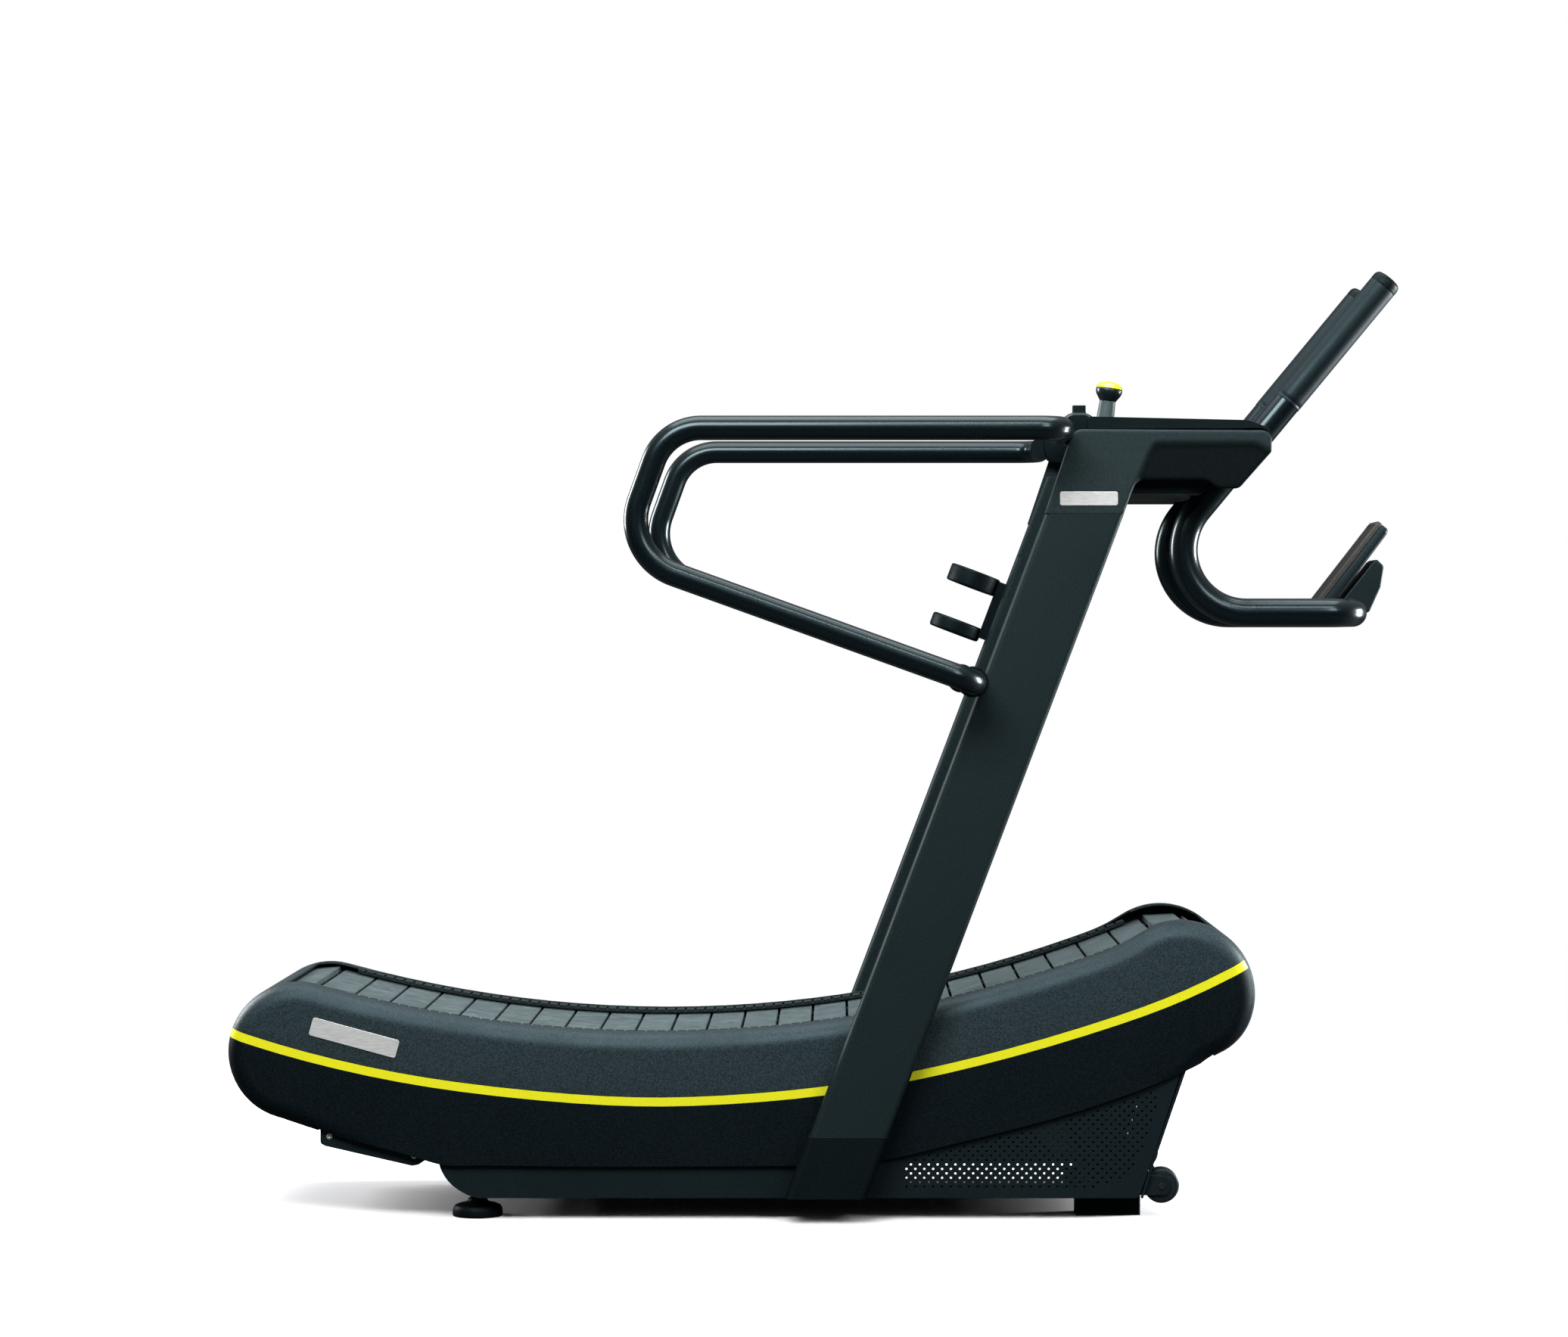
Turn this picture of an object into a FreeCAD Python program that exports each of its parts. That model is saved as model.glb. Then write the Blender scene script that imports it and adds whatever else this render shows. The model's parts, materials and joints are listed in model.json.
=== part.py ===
import FreeCAD, Part
import math
import os
from FreeCAD import Vector

os.makedirs("parts", exist_ok=True)

# Curved manual treadmill, in millimetres. +X is the front (the way the runner faces), +Y the
# runner's left, +Z up, Z = 0 the floor. The origin is on the floor at the middle of the bounding box.
# "right" names are on the -Y side.

# ---------------------------------------------------------------- driving dimensions
XS = 41.792             # station shift: stations below are measured from a datum 41.792 mm behind the origin

# running surface
ARC_X, ARC_Z = -320.0, 2575.0     # centre of the concave running arc
R_AXLE = 2368.0                   # distance from the arc centre to each end axle
FRONT_X, REAR_X = 597.0, -950.0   # stations of the front and rear axles
R_PITCH_DRUM = 96.0               # pitch radius of the belt on the end pulleys
R_PITCH = R_AXLE - R_PITCH_DRUM   # pitch radius of the belt along the running arc
N_SLATS = 59
SLAT_HALF_W = 215.0
SLAT_GAP = 5.0
PAD_TOP = 14.0                    # slat top above the pitch line
PAD_BOT = 3.2
STRIP_TOP = 22.0                  # ribbed side strip top above the pitch line
BELT_Y0, BELT_Y1 = 168.0, 198.0   # drive belt band
BELT_T = 3.0                      # half thickness of the drive belt

# covers
COVER_Y = 275.0
SHOULDER_R = 34.0
WALL = 3.5
R_HOOD = 120.0
R_NOSE = 129.0
TRIM_H = 15.5
ARM_Y = 218.0                     # inner edge of the cover shoulders beside the belt openings
STRIP_Y0, STRIP_Y1 = 200.0, 239.5
PLATE_Y0, PLATE_Y1 = 222.0, 230.0

# posts and head
POST_Y0, POST_Y1 = 278.0, 332.0
POST_W = 135.5                    # width measured level
POST_SLOPE = 0.3786
POST_X0 = -92.8                   # rear edge of the post at POST_Z0
POST_Z0 = 45.0
SEAM_LOW, SEAM_HIGH = 152.5, 1230.0

# bars
RAIL_R = 21.0
RAIL_Y = 446.0
RAIL_Z = 1372.0
TUBE_R = 25.0
TUBE_Y = 170.0
GRIP_R = 25.8

# drive and brake
AXLE_R = 17.5
FLY_X, FLY_Z, FLY_R = 430.0, 150.0, 88.0
FLY_Y0, FLY_Y1 = 150.0, 164.0

EPS = 1e-4


# ---------------------------------------------------------------- helpers
def V(x, z, y=0.0):
    return Vector(x + XS, y, z)


def seg(a, b):
    return Part.makeLine(V(*a), V(*b))


def pol(c, r, a):
    return (c[0] + r * math.cos(math.radians(a)), c[1] + r * math.sin(math.radians(a)))


def arc(c, r, a0, a1):
    return Part.Arc(V(*pol(c, r, a0)), V(*pol(c, r, (a0 + a1) / 2.0)), V(*pol(c, r, a1))).toShape()


def spl(pts, t0=None, t1=None):
    c = Part.BSplineCurve()
    p = [V(*q) for q in pts]
    if t0 is None:
        c.interpolate(p)
    else:
        c.interpolate(Points=p, InitialTangent=Vector(t0[0], 0, t0[1]), FinalTangent=Vector(t1[0], 0, t1[1]))
    return c.toShape()


def face(edges):
    return Part.Face(Part.Wire(edges))


def prism(fc, y0, y1):
    f = fc.copy()
    f.translate(Vector(0, y0, 0))
    return f.extrude(Vector(0, y1 - y0, 0))


def poly(pts, y0, y1):
    p = [V(*q) for q in pts]
    return prism(Part.Face(Part.makePolygon(p + [p[0]])), y0, y1)


def box(x0, x1, y0, y1, z0, z1):
    return Part.makeBox(x1 - x0, y1 - y0, z1 - z0, Vector(x0 + XS, y0, z0))


def rod_y(x, z, r, y0, y1):
    return Part.makeCylinder(r, y1 - y0, Vector(x + XS, y0, z), Vector(0, 1, 0))


def rounded(pts, radii):
    """Closed outline with its corners rounded."""
    n = len(pts)
    edges, ends = [], []
    for i in range(n):
        p0, p1, p2 = [Vector(*pts[(i + k) % n], 0) for k in (-1, 0, 1)]
        r = radii[i] if isinstance(radii, (list, tuple)) else radii
        a, b = (p0 - p1), (p2 - p1)
        la, lb = a.Length, b.Length
        a.normalize()
        b.normalize()
        ang = a.getAngle(b)
        if r <= 0 or ang > math.pi - 1e-3:
            ends.append((p1, p1))
            continue
        d = min(r / math.tan(ang / 2), 0.48 * la, 0.48 * lb)
        r = d * math.tan(ang / 2)
        bis = (a + b)
        bis.normalize()
        c = p1 + bis * (r / math.sin(ang / 2))
        s, e = p1 + a * d, p1 + b * d
        m = c - bis * r
        ends.append((s, e))
        edges.append((i, Part.Arc(V(s.x, s.y), V(m.x, m.y), V(e.x, e.y)).toShape()))
    arcs = dict(edges)
    out = []
    for i in range(n):
        if i in arcs:
            out.append(arcs[i])
        e, s = ends[i][1], ends[(i + 1) % n][0]
        if (e - s).Length > 1e-6:
            out.append(Part.makeLine(V(e.x, e.y), V(s.x, s.y)))
    return out


def soften(shape, picker, r):
    """Fillet the picked edges, trying a smaller radius if one is too tight."""
    for k in (1.0, 0.8, 0.6, 0.4):
        try:
            e = [x for x in shape.Edges if picker(x)]
            if not e:
                return shape
            s = shape.makeFillet(r * k, e)
            if s.isValid() and s.Volume > 0.5 * shape.Volume:
                return s
        except Exception:
            pass
    print("no fillet", r)
    return shape


def at_y(y):
    def f(e):
        b = e.BoundBox
        return abs(b.YMin - y) < 0.01 and abs(b.YMax - y) < 0.01
    return f


def mir(s):
    return s.mirror(Vector(0, 0, 0), Vector(0, 1, 0))


def fuse(list_):
    s = list_[0]
    if len(list_) > 1:
        s = s.multiFuse(list_[1:])
    return s.removeSplitter()


def export(name, shape):
    solids = shape.Solids
    c = solids[0] if len(solids) == 1 else Part.makeCompound(solids)
    c.exportStep("parts/%s.step" % name)
    b = c.optimalBoundingBox(False)
    ok = all(s.isValid() for s in solids)
    print("%-26s %3d %s vol %9.0f  x %8.1f %8.1f y %7.1f %7.1f z %7.1f %7.1f" % (
        name, len(solids), "ok " if ok else "BAD", c.Volume, b.XMin, b.XMax, b.YMin, b.YMax, b.ZMin, b.ZMax))
    ALL.append(b)


ALL = []
A = (ARC_X, ARC_Z)
CF = (FRONT_X, ARC_Z - math.sqrt(R_AXLE ** 2 - (FRONT_X - ARC_X) ** 2))
CR = (REAR_X, ARC_Z - math.sqrt(R_AXLE ** 2 - (REAR_X - ARC_X) ** 2))
ANG_F = math.degrees(math.atan2(CF[1] - A[1], CF[0] - A[0]))     # angles of the axles seen from the arc centre
ANG_R = math.degrees(math.atan2(CR[1] - A[1], CR[0] - A[0]))
RUN = (CF[0] - CR[0], CF[1] - CR[1])
RUN_L = math.hypot(*RUN)
RUN_A = math.degrees(math.atan2(RUN[1], RUN[0]))                 # slope of the bottom run
WRAP_F0 = ANG_F + 180.0 - 0.0                                    # contact angles on the drums
WRAP_R0 = ANG_R + 180.0


# ---------------------------------------------------------------- belt path
def arc_z(x, r):
    return ARC_Z - math.sqrt(r * r - (x - ARC_X) ** 2)


top_len = R_PITCH * math.radians(ANG_F - ANG_R)
wrap_f = (WRAP_F0 - (RUN_A - 90.0)) % 360.0
wrap_r = ((RUN_A - 90.0) - WRAP_R0) % 360.0
lf, lr = R_PITCH_DRUM * math.radians(wrap_f), R_PITCH_DRUM * math.radians(wrap_r)
LOOP = top_len + lf + RUN_L + lr
PITCH = LOOP / N_SLATS
N_TOP = int(top_len / PITCH) + 1
PHASE = (top_len - (N_TOP - 1) * PITCH) / 2.0
print("loop", LOOP, "pitch", PITCH, "top", top_len, "wraps", wrap_f, wrap_r, "n_top", N_TOP, "CF", CF, "CR", CR, "ANG", ANG_F, ANG_R, "RUN_A", RUN_A)


def station(s):
    """Point on the pitch line, and the outward direction (away from the loop), for distance s from the rear tangent."""
    s = s % LOOP
    if s <= top_len:
        a = ANG_R + math.degrees(s / R_PITCH)
        p = pol(A, R_PITCH, a)
        return p, (-math.cos(math.radians(a)), -math.sin(math.radians(a))), "top"
    s -= top_len
    if s <= lf:
        a = WRAP_F0 - math.degrees(s / R_PITCH_DRUM)
        return pol(CF, R_PITCH_DRUM, a), (math.cos(math.radians(a)), math.sin(math.radians(a))), "front"
    s -= lf
    n = (math.cos(math.radians(RUN_A - 90.0)), math.sin(math.radians(RUN_A - 90.0)))
    if s <= RUN_L:
        d = (-math.cos(math.radians(RUN_A)), -math.sin(math.radians(RUN_A)))
        p = (CF[0] + n[0] * R_PITCH_DRUM + d[0] * s, CF[1] + n[1] * R_PITCH_DRUM + d[1] * s)
        return p, n, "bottom"
    s -= RUN_L
    a = (RUN_A - 90.0) - math.degrees(s / R_PITCH_DRUM)
    return pol(CR, R_PITCH_DRUM, a), (math.cos(math.radians(a)), math.sin(math.radians(a))), "rear"


# one slat, lying flat: pad with rounded corners over a stiffening rib
half = (PITCH - SLAT_GAP) / 2.0
pad = Part.makeBox(2 * half, 2 * SLAT_HALF_W, PAD_TOP - PAD_BOT, Vector(-half, -SLAT_HALF_W, PAD_BOT))
pad = soften(pad, lambda e: abs(e.BoundBox.ZLength - (PAD_TOP - PAD_BOT)) < 0.01 and e.BoundBox.XLength < 0.01, 5.0)
pad = soften(pad, lambda e: abs(e.BoundBox.ZMin - PAD_TOP) < 0.01 and abs(e.BoundBox.ZMax - PAD_TOP) < 0.01, 1.8)
rib = Part.makeBox(26, 300, PAD_BOT + 13.0, Vector(-13, -150, -13.0))
slat = pad.fuse(rib).removeSplitter()

groups = {"top": [], "front": [], "bottom": [], "rear": []}
for i in range(N_SLATS):
    p, n, where = station(PHASE + i * PITCH)
    s = slat.copy()
    s.rotate(Vector(0, 0, 0), Vector(0, 1, 0), math.degrees(math.atan2(n[0], n[1])))
    s.translate(V(*p))
    groups[where].append(s)
for k, v in groups.items():
    export("slats_" + k, Part.makeCompound(v))


# drive belts under the slats, one pair of segments for each stretch of the loop
def ring(c, r0, r1, a0, a1, y0, y1):
    return prism(face([arc(c, r0, a0, a1), seg(pol(c, r0, a1), pol(c, r1, a1)), arc(c, r1, a1, a0), seg(pol(c, r1, a0), pol(c, r0, a0))]), y0, y1)


def both(shape):
    return Part.makeCompound([shape, mir(shape)])


ga = math.degrees(1.3 / R_PITCH)
gd = math.degrees(1.3 / R_PITCH_DRUM)
export("belts_top", both(ring(A, R_PITCH - BELT_T, R_PITCH + BELT_T, ANG_R + ga, ANG_F - ga, -BELT_Y1, -BELT_Y0)))
export("belts_front", both(ring(CF, R_PITCH_DRUM - BELT_T, R_PITCH_DRUM + BELT_T, RUN_A - 90 + gd, RUN_A - 90 + wrap_f - gd, -BELT_Y1, -BELT_Y0)))
export("belts_rear", both(ring(CR, R_PITCH_DRUM - BELT_T, R_PITCH_DRUM + BELT_T, WRAP_R0 + gd, WRAP_R0 + wrap_r - gd, -BELT_Y1, -BELT_Y0)))
n = (math.cos(math.radians(RUN_A - 90.0)), math.sin(math.radians(RUN_A - 90.0)))
d = (math.cos(math.radians(RUN_A)), math.sin(math.radians(RUN_A)))


def run_pt(s, h):
    return (CR[0] + n[0] * (R_PITCH_DRUM + h) + d[0] * s, CR[1] + n[1] * (R_PITCH_DRUM + h) + d[1] * s)


export("belts_bottom", both(poly([run_pt(1.3, -BELT_T), run_pt(RUN_L - 1.3, -BELT_T), run_pt(RUN_L - 1.3, BELT_T), run_pt(1.3, BELT_T)], -BELT_Y1, -BELT_Y0)))


# ---------------------------------------------------------------- end axles and pulleys
def axle(c, extra):
    return fuse([rod_y(c[0], c[1], AXLE_R, -232.0, 232.0 + extra), rod_y(c[0], c[1], 24.0, -160.0, 160.0)])


def pulleys(c):
    out = []
    rim = R_PITCH_DRUM - BELT_T - 0.6
    for s in (-1, 1):
        lo, hi = sorted((s * (BELT_Y0 - 2.0), s * (BELT_Y1 + 2.0)))
        w = rod_y(c[0], c[1], rim, lo, hi)
        w = w.cut(rod_y(c[0], c[1], AXLE_R, lo - 1, hi + 1))
        for k in range(6):
            q = pol(c, 56.0, 60.0 * k + 15.0)
            w = w.cut(rod_y(q[0], q[1], 17.0, lo - 1, hi + 1))
        out.append(w)
    return Part.makeCompound(out)


front_ax = axle(CF, 30.0)
front_ax = front_ax.fuse(rod_y(CF[0], CF[1], 62.0, 240.0, 258.0)).removeSplitter()
export("front_axle", front_ax)
export("rear_axle", axle(CR, 0.0))
export("front_pulleys", pulleys(CF))
export("rear_pulleys", pulleys(CR))

blocks = []
for c in (CF, CR):
    for s in (-1, 1):
        lo, hi = sorted((s * 204.5, s * PLATE_Y0))
        b = fuse([rod_y(c[0], c[1], 36.0, lo, hi), rod_y(c[0], c[1], 52.0, *sorted((s * 215.0, s * PLATE_Y0)))])
        blocks.append(b.cut(rod_y(c[0], c[1], AXLE_R + 0.06, lo - 1, hi + 1)))
export("axle_bearing_blocks", Part.makeCompound(blocks))

# bearings that carry the slat ends along the arc
bear = []
R_BEAR = R_PITCH - PAD_BOT + 14.0 + 0.6
R_BEAR = R_PITCH - PAD_BOT + 0.0
R_BEAR = (R_PITCH - PAD_BOT) + 14.6
nb = 25
for s in (-1, 1):
    for i in range(nb):
        a = ANG_R + 2.2 + (ANG_F - ANG_R - 4.4) * i / (nb - 1)
        q = pol(A, R_BEAR, a)
        ringb = rod_y(q[0], q[1], 14.0, *sorted((s * 203.0, s * 213.0)))
        stud = rod_y(q[0], q[1], 5.0, *sorted((s * 202.0, s * PLATE_Y0)))
        bear.append(ringb.fuse(stud).removeSplitter())
export("guide_bearings", Part.makeCompound(bear))


# ---------------------------------------------------------------- cover profile
def tub(t):
    """Side outline of the covers, moved inwards by t, rounded along its long edges."""
    hood, nose = R_HOOD - t, R_NOSE - t
    rsh = R_AXLE - R_HOOD + t                      # shoulder arc about the running arc's centre
    xb = 430.0
    ab = math.degrees(math.atan2(-math.sqrt(rsh ** 2 - (xb - ARC_X) ** 2), xb - ARC_X))
    pb = pol(A, rsh, ab)
    aN = 115.0
    pn = pol(CF, nose, aN)
    rho = 103.8 - t
    c2 = pol(CF, R_NOSE - 103.8, -20.0)
    p8 = pol(c2, rho, -64.7)
    a2 = -105.4
    p2 = pol(CR, hood, a2)
    mid = (500.0, 484.5 - t * 1.1)
    tb = (-math.sin(math.radians(ab)), math.cos(math.radians(ab)))
    tn = (math.sin(math.radians(aN)), -math.cos(math.radians(aN)))
    e10 = spl([pb, mid, pn], (tb[0], tb[1]), (tn[0], tn[1]))
    e1 = arc(A, rsh, ANG_R, ab)
    e2 = arc(CR, hood, WRAP_R0, 360 + a2)
    low = 52.0 + t
    e3 = spl([p2, (-900, 142 + t), (-800, 97 + t), (-680, 63 + t), (-560, low)], (math.cos(math.radians(-15.4)), math.sin(math.radians(-15.4))), (1, 0))
    e4 = seg((-560, low), (-100, low))
    e5 = spl([(-100, low), (100, 63 + t), (300, 105 + t), (480, 170 + t), (600, 240 + t), p8], (1, 0), (math.cos(math.radians(25.3)), math.sin(math.radians(25.3))))
    e8 = arc(c2, rho, -64.7, -20.0)
    e9 = arc(CF, nose, -20.0, aN)
    w = Part.Wire(Part.__sortEdges__([e1, e2, e3, e4, e5, e8, e9, e10]))
    s = prism(Part.Face(w), -(COVER_Y - t), COVER_Y - t)
    r = SHOULDER_R - t
    done = soften(s, at_y(-(COVER_Y - t)), r)
    done = soften(done, at_y(COVER_Y - t), r)
    return done


outer = tub(0.0)
inner = tub(WALL)
shell = outer.cut(inner)
print("shell", shell.isValid(), len(shell.Solids), shell.Volume)

# bottom edge of the fascia
crease = [(-700, 98.6), (-640, 96.0), (-560, 95.5), (-92, 95.5), (0, 97.5), (91, 108), (159, 124), (257, 148), (354.5, 173), (452, 202.5), (549.5, 238), (604, 260.5)]
CREASE_PTS = [(-1200, 234.0), (-981.9, 176.6), (-850, 140.0), (-722, 105.0)] + crease + [(667.3, 290.4), (800, 353.0)]
cr_spl = spl(CREASE_PTS)


def above(curve_pts, dz, top=900.0):
    p = [(x, z + dz) for x, z in curve_pts]
    e = [spl(p), seg(p[-1], (p[-1][0], top)), seg((p[-1][0], top), (p[0][0], top)), seg((p[0][0], top), p[0])]
    return face(e)


def below(curve_pts, dz, bot=-100.0):
    p = [(x, z + dz) for x, z in curve_pts]
    e = [spl(p), seg(p[-1], (p[-1][0], bot)), seg((p[-1][0], bot), (p[0][0], bot)), seg((p[0][0], bot), p[0])]
    return face(e)


trim_c = [(-1110, 341.0), (-1063.4, 326.4), (-980, 300.0), (-897.3, 277.6), (-744.5, 245.4), (-569.2, 222.0), (-430, 210.4), (-336.0, 207.0), (-177.2, 212.0), (-36.9, 225.0), (127.8, 252.3), (305.7, 295.0), (452.0, 338.6), (598.2, 392.0), (705.0, 444.0), (790, 490.0)]


def shifted(pts, h):
    out = []
    for i, p in enumerate(pts):
        a, b = pts[max(i - 1, 0)], pts[min(i + 1, len(pts) - 1)]
        tx, tz = b[0] - a[0], b[1] - a[1]
        l = math.hypot(tx, tz)
        out.append((p[0] - tz / l * h, p[1] + tx / l * h))
    return out


hh = TRIM_H / 2.0
side = shell.common(Part.makeBox(2400, 75.0, 900, Vector(-1200, -290, -50)))     # Y -290..-215
side = side.common(prism(above(CREASE_PTS, 0.0), -290, -200))
# shoulders beside the openings only at the ends; ribbed strip elsewhere
strip_zone = Part.Face(Part.makePolygon([Vector(x + XS, y, 0) for x, y in [(-916.0, -200), (-835.0, -240.0), (541, -240.0), (541, -200), (-916.0, -200)]]))
strip_zone.translate(Vector(0, 0, 200))
strip_zone = strip_zone.extrude(Vector(0, 0, 600))
side = side.cut(strip_zone)
side = side.cut(box(-1200, 760, -218.0, -200, -60, 800))
side = side.cut(box(632.0, 900, -258.0, -200, -60, 800))
# no floor under the belt: the side covers keep only a narrow lip
upper = side.common(prism(above(shifted(trim_c, hh), 0.2), -290, -200))
lower = side.common(prism(below(shifted(trim_c, -hh), -0.2), -290, -200))
lower = lower.cut(box(-909, 606.0, -266.0, -200, -60, 300))
lower = lower.cut(box(600, 760, -258.4, -200, -60, 800))


def biggest(s):
    return max(s.Solids, key=lambda q: q.Volume)


upper, lower = biggest(upper), biggest(lower)
export("side_cover_upper_right", upper)
export("side_cover_upper_left", mir(upper))

# trim strip: fills the band flush with the covers, over a thin backing
band_pts_u, band_pts_l = shifted(trim_c, hh - 0.1), shifted(trim_c, -hh + 0.1)
bw = face([spl(band_pts_u), seg(band_pts_u[-1], band_pts_l[-1]), spl(band_pts_l), seg(band_pts_l[0], band_pts_u[0])])
trim = shell.common(prism(bw, -290, -200))
trim = trim.cut(box(-1200, 600, -218.0, -100, -60, 800)).cut(box(600, 900, -258.4, -100, -60, 800))
trim = biggest(trim)
export("trim_strips", both(trim))

# blank plates: one low on the fascia near the rear, one on each head panel
def plate(cx, cz, w, h, tilt, y0, y1, r=4.0):
    c, t = math.cos(math.radians(tilt)), math.sin(math.radians(tilt))
    q = [(cx + u * c - v * t, cz + u * t + v * c) for u, v in ((-w / 2, -h / 2), (w / 2, -h / 2), (w / 2, h / 2), (-w / 2, h / 2))]
    return prism(Part.Face(Part.Wire(rounded(q, r))), y0, y1)


BADGES = [plate(-846.0, 319.0, 156.0, 32.0, -15.2, -276.6, -275.0), plate(430.0, 1256.0, 100.0, 24.0, 0.0, -334.0, -332.6)]
export("badge_plates", Part.makeCompound(BADGES + [mir(b) for b in BADGES]))

# end hoods
HB = 217.6
rear_hood = shell.common(box(-1200, -971, -HB, HB, -60, 800))
cutw = [(-950, 292), pol(CR, 400, 245.0), (-600, -200), (-600, 292)]
rear_hood = biggest(rear_hood.cut(poly(cutw, -300, 300)))
rear_hood = rear_hood.cut(box(-1200, -900, -HB - 5, HB + 5, -60, 180))
export("rear_hood", biggest(rear_hood))

front_hood = shell.common(box(632.4, 900, -257.6, 257.6, -60, 800))
front_hood = front_hood.cut(box(600, 660.0, -216.5, 216.5, 392, 800))
front_hood = front_hood.cut(poly([(597, 392), pol(CF, 400, -62.0), (300, -200), (300, 392)], -300, 300))
front_hood = biggest(front_hood)
export("front_hood", front_hood)


# ribbed rubber strips along both sides of the running surface
def ribs():
    r_top, r_groove, r_under = R_PITCH - STRIP_TOP, R_PITCH - STRIP_TOP + 3.6, R_PITCH - PAD_TOP - 2.0
    a0 = math.degrees(math.atan2(-math.sqrt(r_top ** 2 - (-936 - ARC_X) ** 2), -936 - ARC_X))
    a1 = math.degrees(math.atan2(-math.sqrt(r_top ** 2 - (540 - ARC_X) ** 2), 540 - ARC_X))
    step = math.degrees(18.2 / r_top)
    gap = math.degrees(3.2 / r_top)
    bev = math.degrees(0.9 / r_top)
    pts = []
    a = a0
    while a < a1 - step:
        pts += [pol(A, r_groove, a + gap), pol(A, r_top + 0.9, a + gap + 0.2 * bev), pol(A, r_top, a + gap + bev), pol(A, r_top, a + step - bev), pol(A, r_top + 0.9, a + step - 0.2 * bev), pol(A, r_groove, a + step)]
        a += step
    a_end = a
    under = [pol(A, r_under, a0 + (a_end - a0) * k / 40.0) for k in range(40, -1, -1)]
    thin = poly(pts + under, -STRIP_Y1, -STRIP_Y0)
    deep = [pol(A, r_under - 1.0, a0 + (a_end - a0) * k / 40.0) for k in range(41)]
    deep2 = [pol(A, R_PITCH - 6.0, a0 + (a_end - a0) * k / 40.0) for k in range(40, -1, -1)]
    thick = poly(deep + deep2, -STRIP_Y1, -STRIP_Y0 - 18.5)
    s = thin.fuse(thick).removeSplitter()
    cut = Part.Face(Part.makePolygon([Vector(x + XS, y, 0) for x, y in [(-1000, -190), (-1000, -245), (-823.7, -245.0), (-935.05, -190), (-1000, -190)]]))
    cut.translate(Vector(0, 0, 200))
    s = s.cut(cut.extrude(Vector(0, 0, 600)))
    return biggest(s.cut(box(-1000, -895.0, -218.0, -190, 200, 800)))      # clear of the slats' corners as they turn


strip = ribs()
export("side_strip_right", strip)
export("side_strip_left", mir(strip))

# ---------------------------------------------------------------- lower covers, vent panels, front panel
# seam plate under the rear of each lower cover, with two screws
rp = rounded([(-907, 178), (-907, 133), (-899, 128.5), (-746, 93.5), (-735, 96), (-724, 103.5), (-700, 97.5), (-700, 128)], [2, 8, 10, 6, 6, 6, 1, 2])
plate_r = prism(Part.Face(Part.Wire(rp)), -259.0, -256.0)
SCREWS = [(-891.0, 145.3), (-743.2, 111.7)]
for q in SCREWS:
    plate_r = plate_r.cut(rod_y(q[0], q[1], 3.1, -275, -240))
export("rear_plates", Part.makeCompound([plate_r, mir(plate_r)]))

SK_OUT, SK_IN = 265.6, 261.6


def crease_z(x):
    """Height of the fascia's bottom edge at a station."""
    c = cr_spl.Curve
    f0, f1 = cr_spl.FirstParameter, cr_spl.LastParameter
    for _ in range(50):
        m = (f0 + f1) / 2
        if c.value(m).x - XS < x:
            f0 = m
        else:
            f1 = m
    return c.value(f0).z


vp_top = [(x, crease_z(x) + 14.0) for x in (-692, -600, -500, -400, -300, -200, -100, 0, 60, 120, 180, 240, 300, 360, 420, 480, 540, 599)]
front_low, front_mid, front_top = (524.0, 38.0), (542.5, 99.1), (598.5, 261.0)
vp_edges = [spl(vp_top), seg(vp_top[-1], front_mid), seg(front_mid, (522.5, 44.0)),
            Part.Arc(V(522.5, 44.0), V(519.2, 39.6), V(514.0, 38.0)).toShape(),
            seg((514.0, 38.0), (-632.0, 38.0)), spl([(-632.0, 38.0), (-667.0, 53.5), (-689.1, 75.4), (-699.0, 97.0)]), seg((-699.0, 97.0), vp_top[0])]
vp_wire = Part.Wire(Part.__sortEdges__(vp_edges))


def inside(poly_, x, z):
    c = False
    for i in range(len(poly_)):
        (x0, z0), (x1, z1) = poly_[i - 1], poly_[i]
        if (z0 > z) != (z1 > z) and x < (x1 - x0) * (z - z0) / (z1 - z0) + x0:
            c = not c
    return c


vent_poly = [(112, 55), (452, 55), (488, 66), (510, 86), (527, 118), (541, 160), (562, 228)] + [(x, crease_z(x) - 7.0) for x in (540, 500, 460, 420, 380, 340, 300, 260, 220, 180, 150, 112)]
holes = []
row = 0
z = 58.0
while z < 240:
    x = 116.0 + (7.75 if row % 2 else 0.0)
    while x < 570:
        if inside(vent_poly, x - 2.4, z) and inside(vent_poly, x + 2.4, z) and inside(vent_poly, x, z - 2.4) and inside(vent_poly, x, z + 2.4):
            holes.append((x, z))
        x += 15.5
    z += 7.75
    row += 1
print("vent holes", len(holes))
hw = [Part.Wire([Part.Circle(V(x, z), Vector(0, 1, 0), 2.05).toShape()]) for x, z in holes]
vf = Part.Face([vp_wire] + hw)
vf.validate()
vent = prism(vf, -SK_OUT, -SK_IN)
CROSS = (-75.0, 25.0, 52.0, 92.0)
vent = vent.cut(box(CROSS[0] - 1.5, CROSS[1] + 1.5, -300, -200, CROSS[2] - 1.5, CROSS[3] + 1.5))
export("vent_panel_right", biggest(vent))
export("vent_panel_left", mir(biggest(vent)))

fp = [(603.0, 259.5), (547.6, 99.1), (528.4, 38.0), (524.2, 38.0), (543.2, 99.1), (598.8, 262.5)]
fpanel = poly(fp, -265.6, 265.6)
fpanel = soften(fpanel, lambda e: abs(e.BoundBox.YLength - 531.2) < 0.1 and e.BoundBox.XMax < 548 + XS + 5 and e.BoundBox.ZMin < 60, 1.5)
fpanel = fpanel.cut(box(500, 620, -260, -205, 20, 92)).cut(box(500, 620, 205, 260, 20, 92))
export("front_panel", fpanel)

lower = biggest(lower)
export("side_cover_lower_right", lower)
export("side_cover_lower_left", mir(lower))

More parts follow.
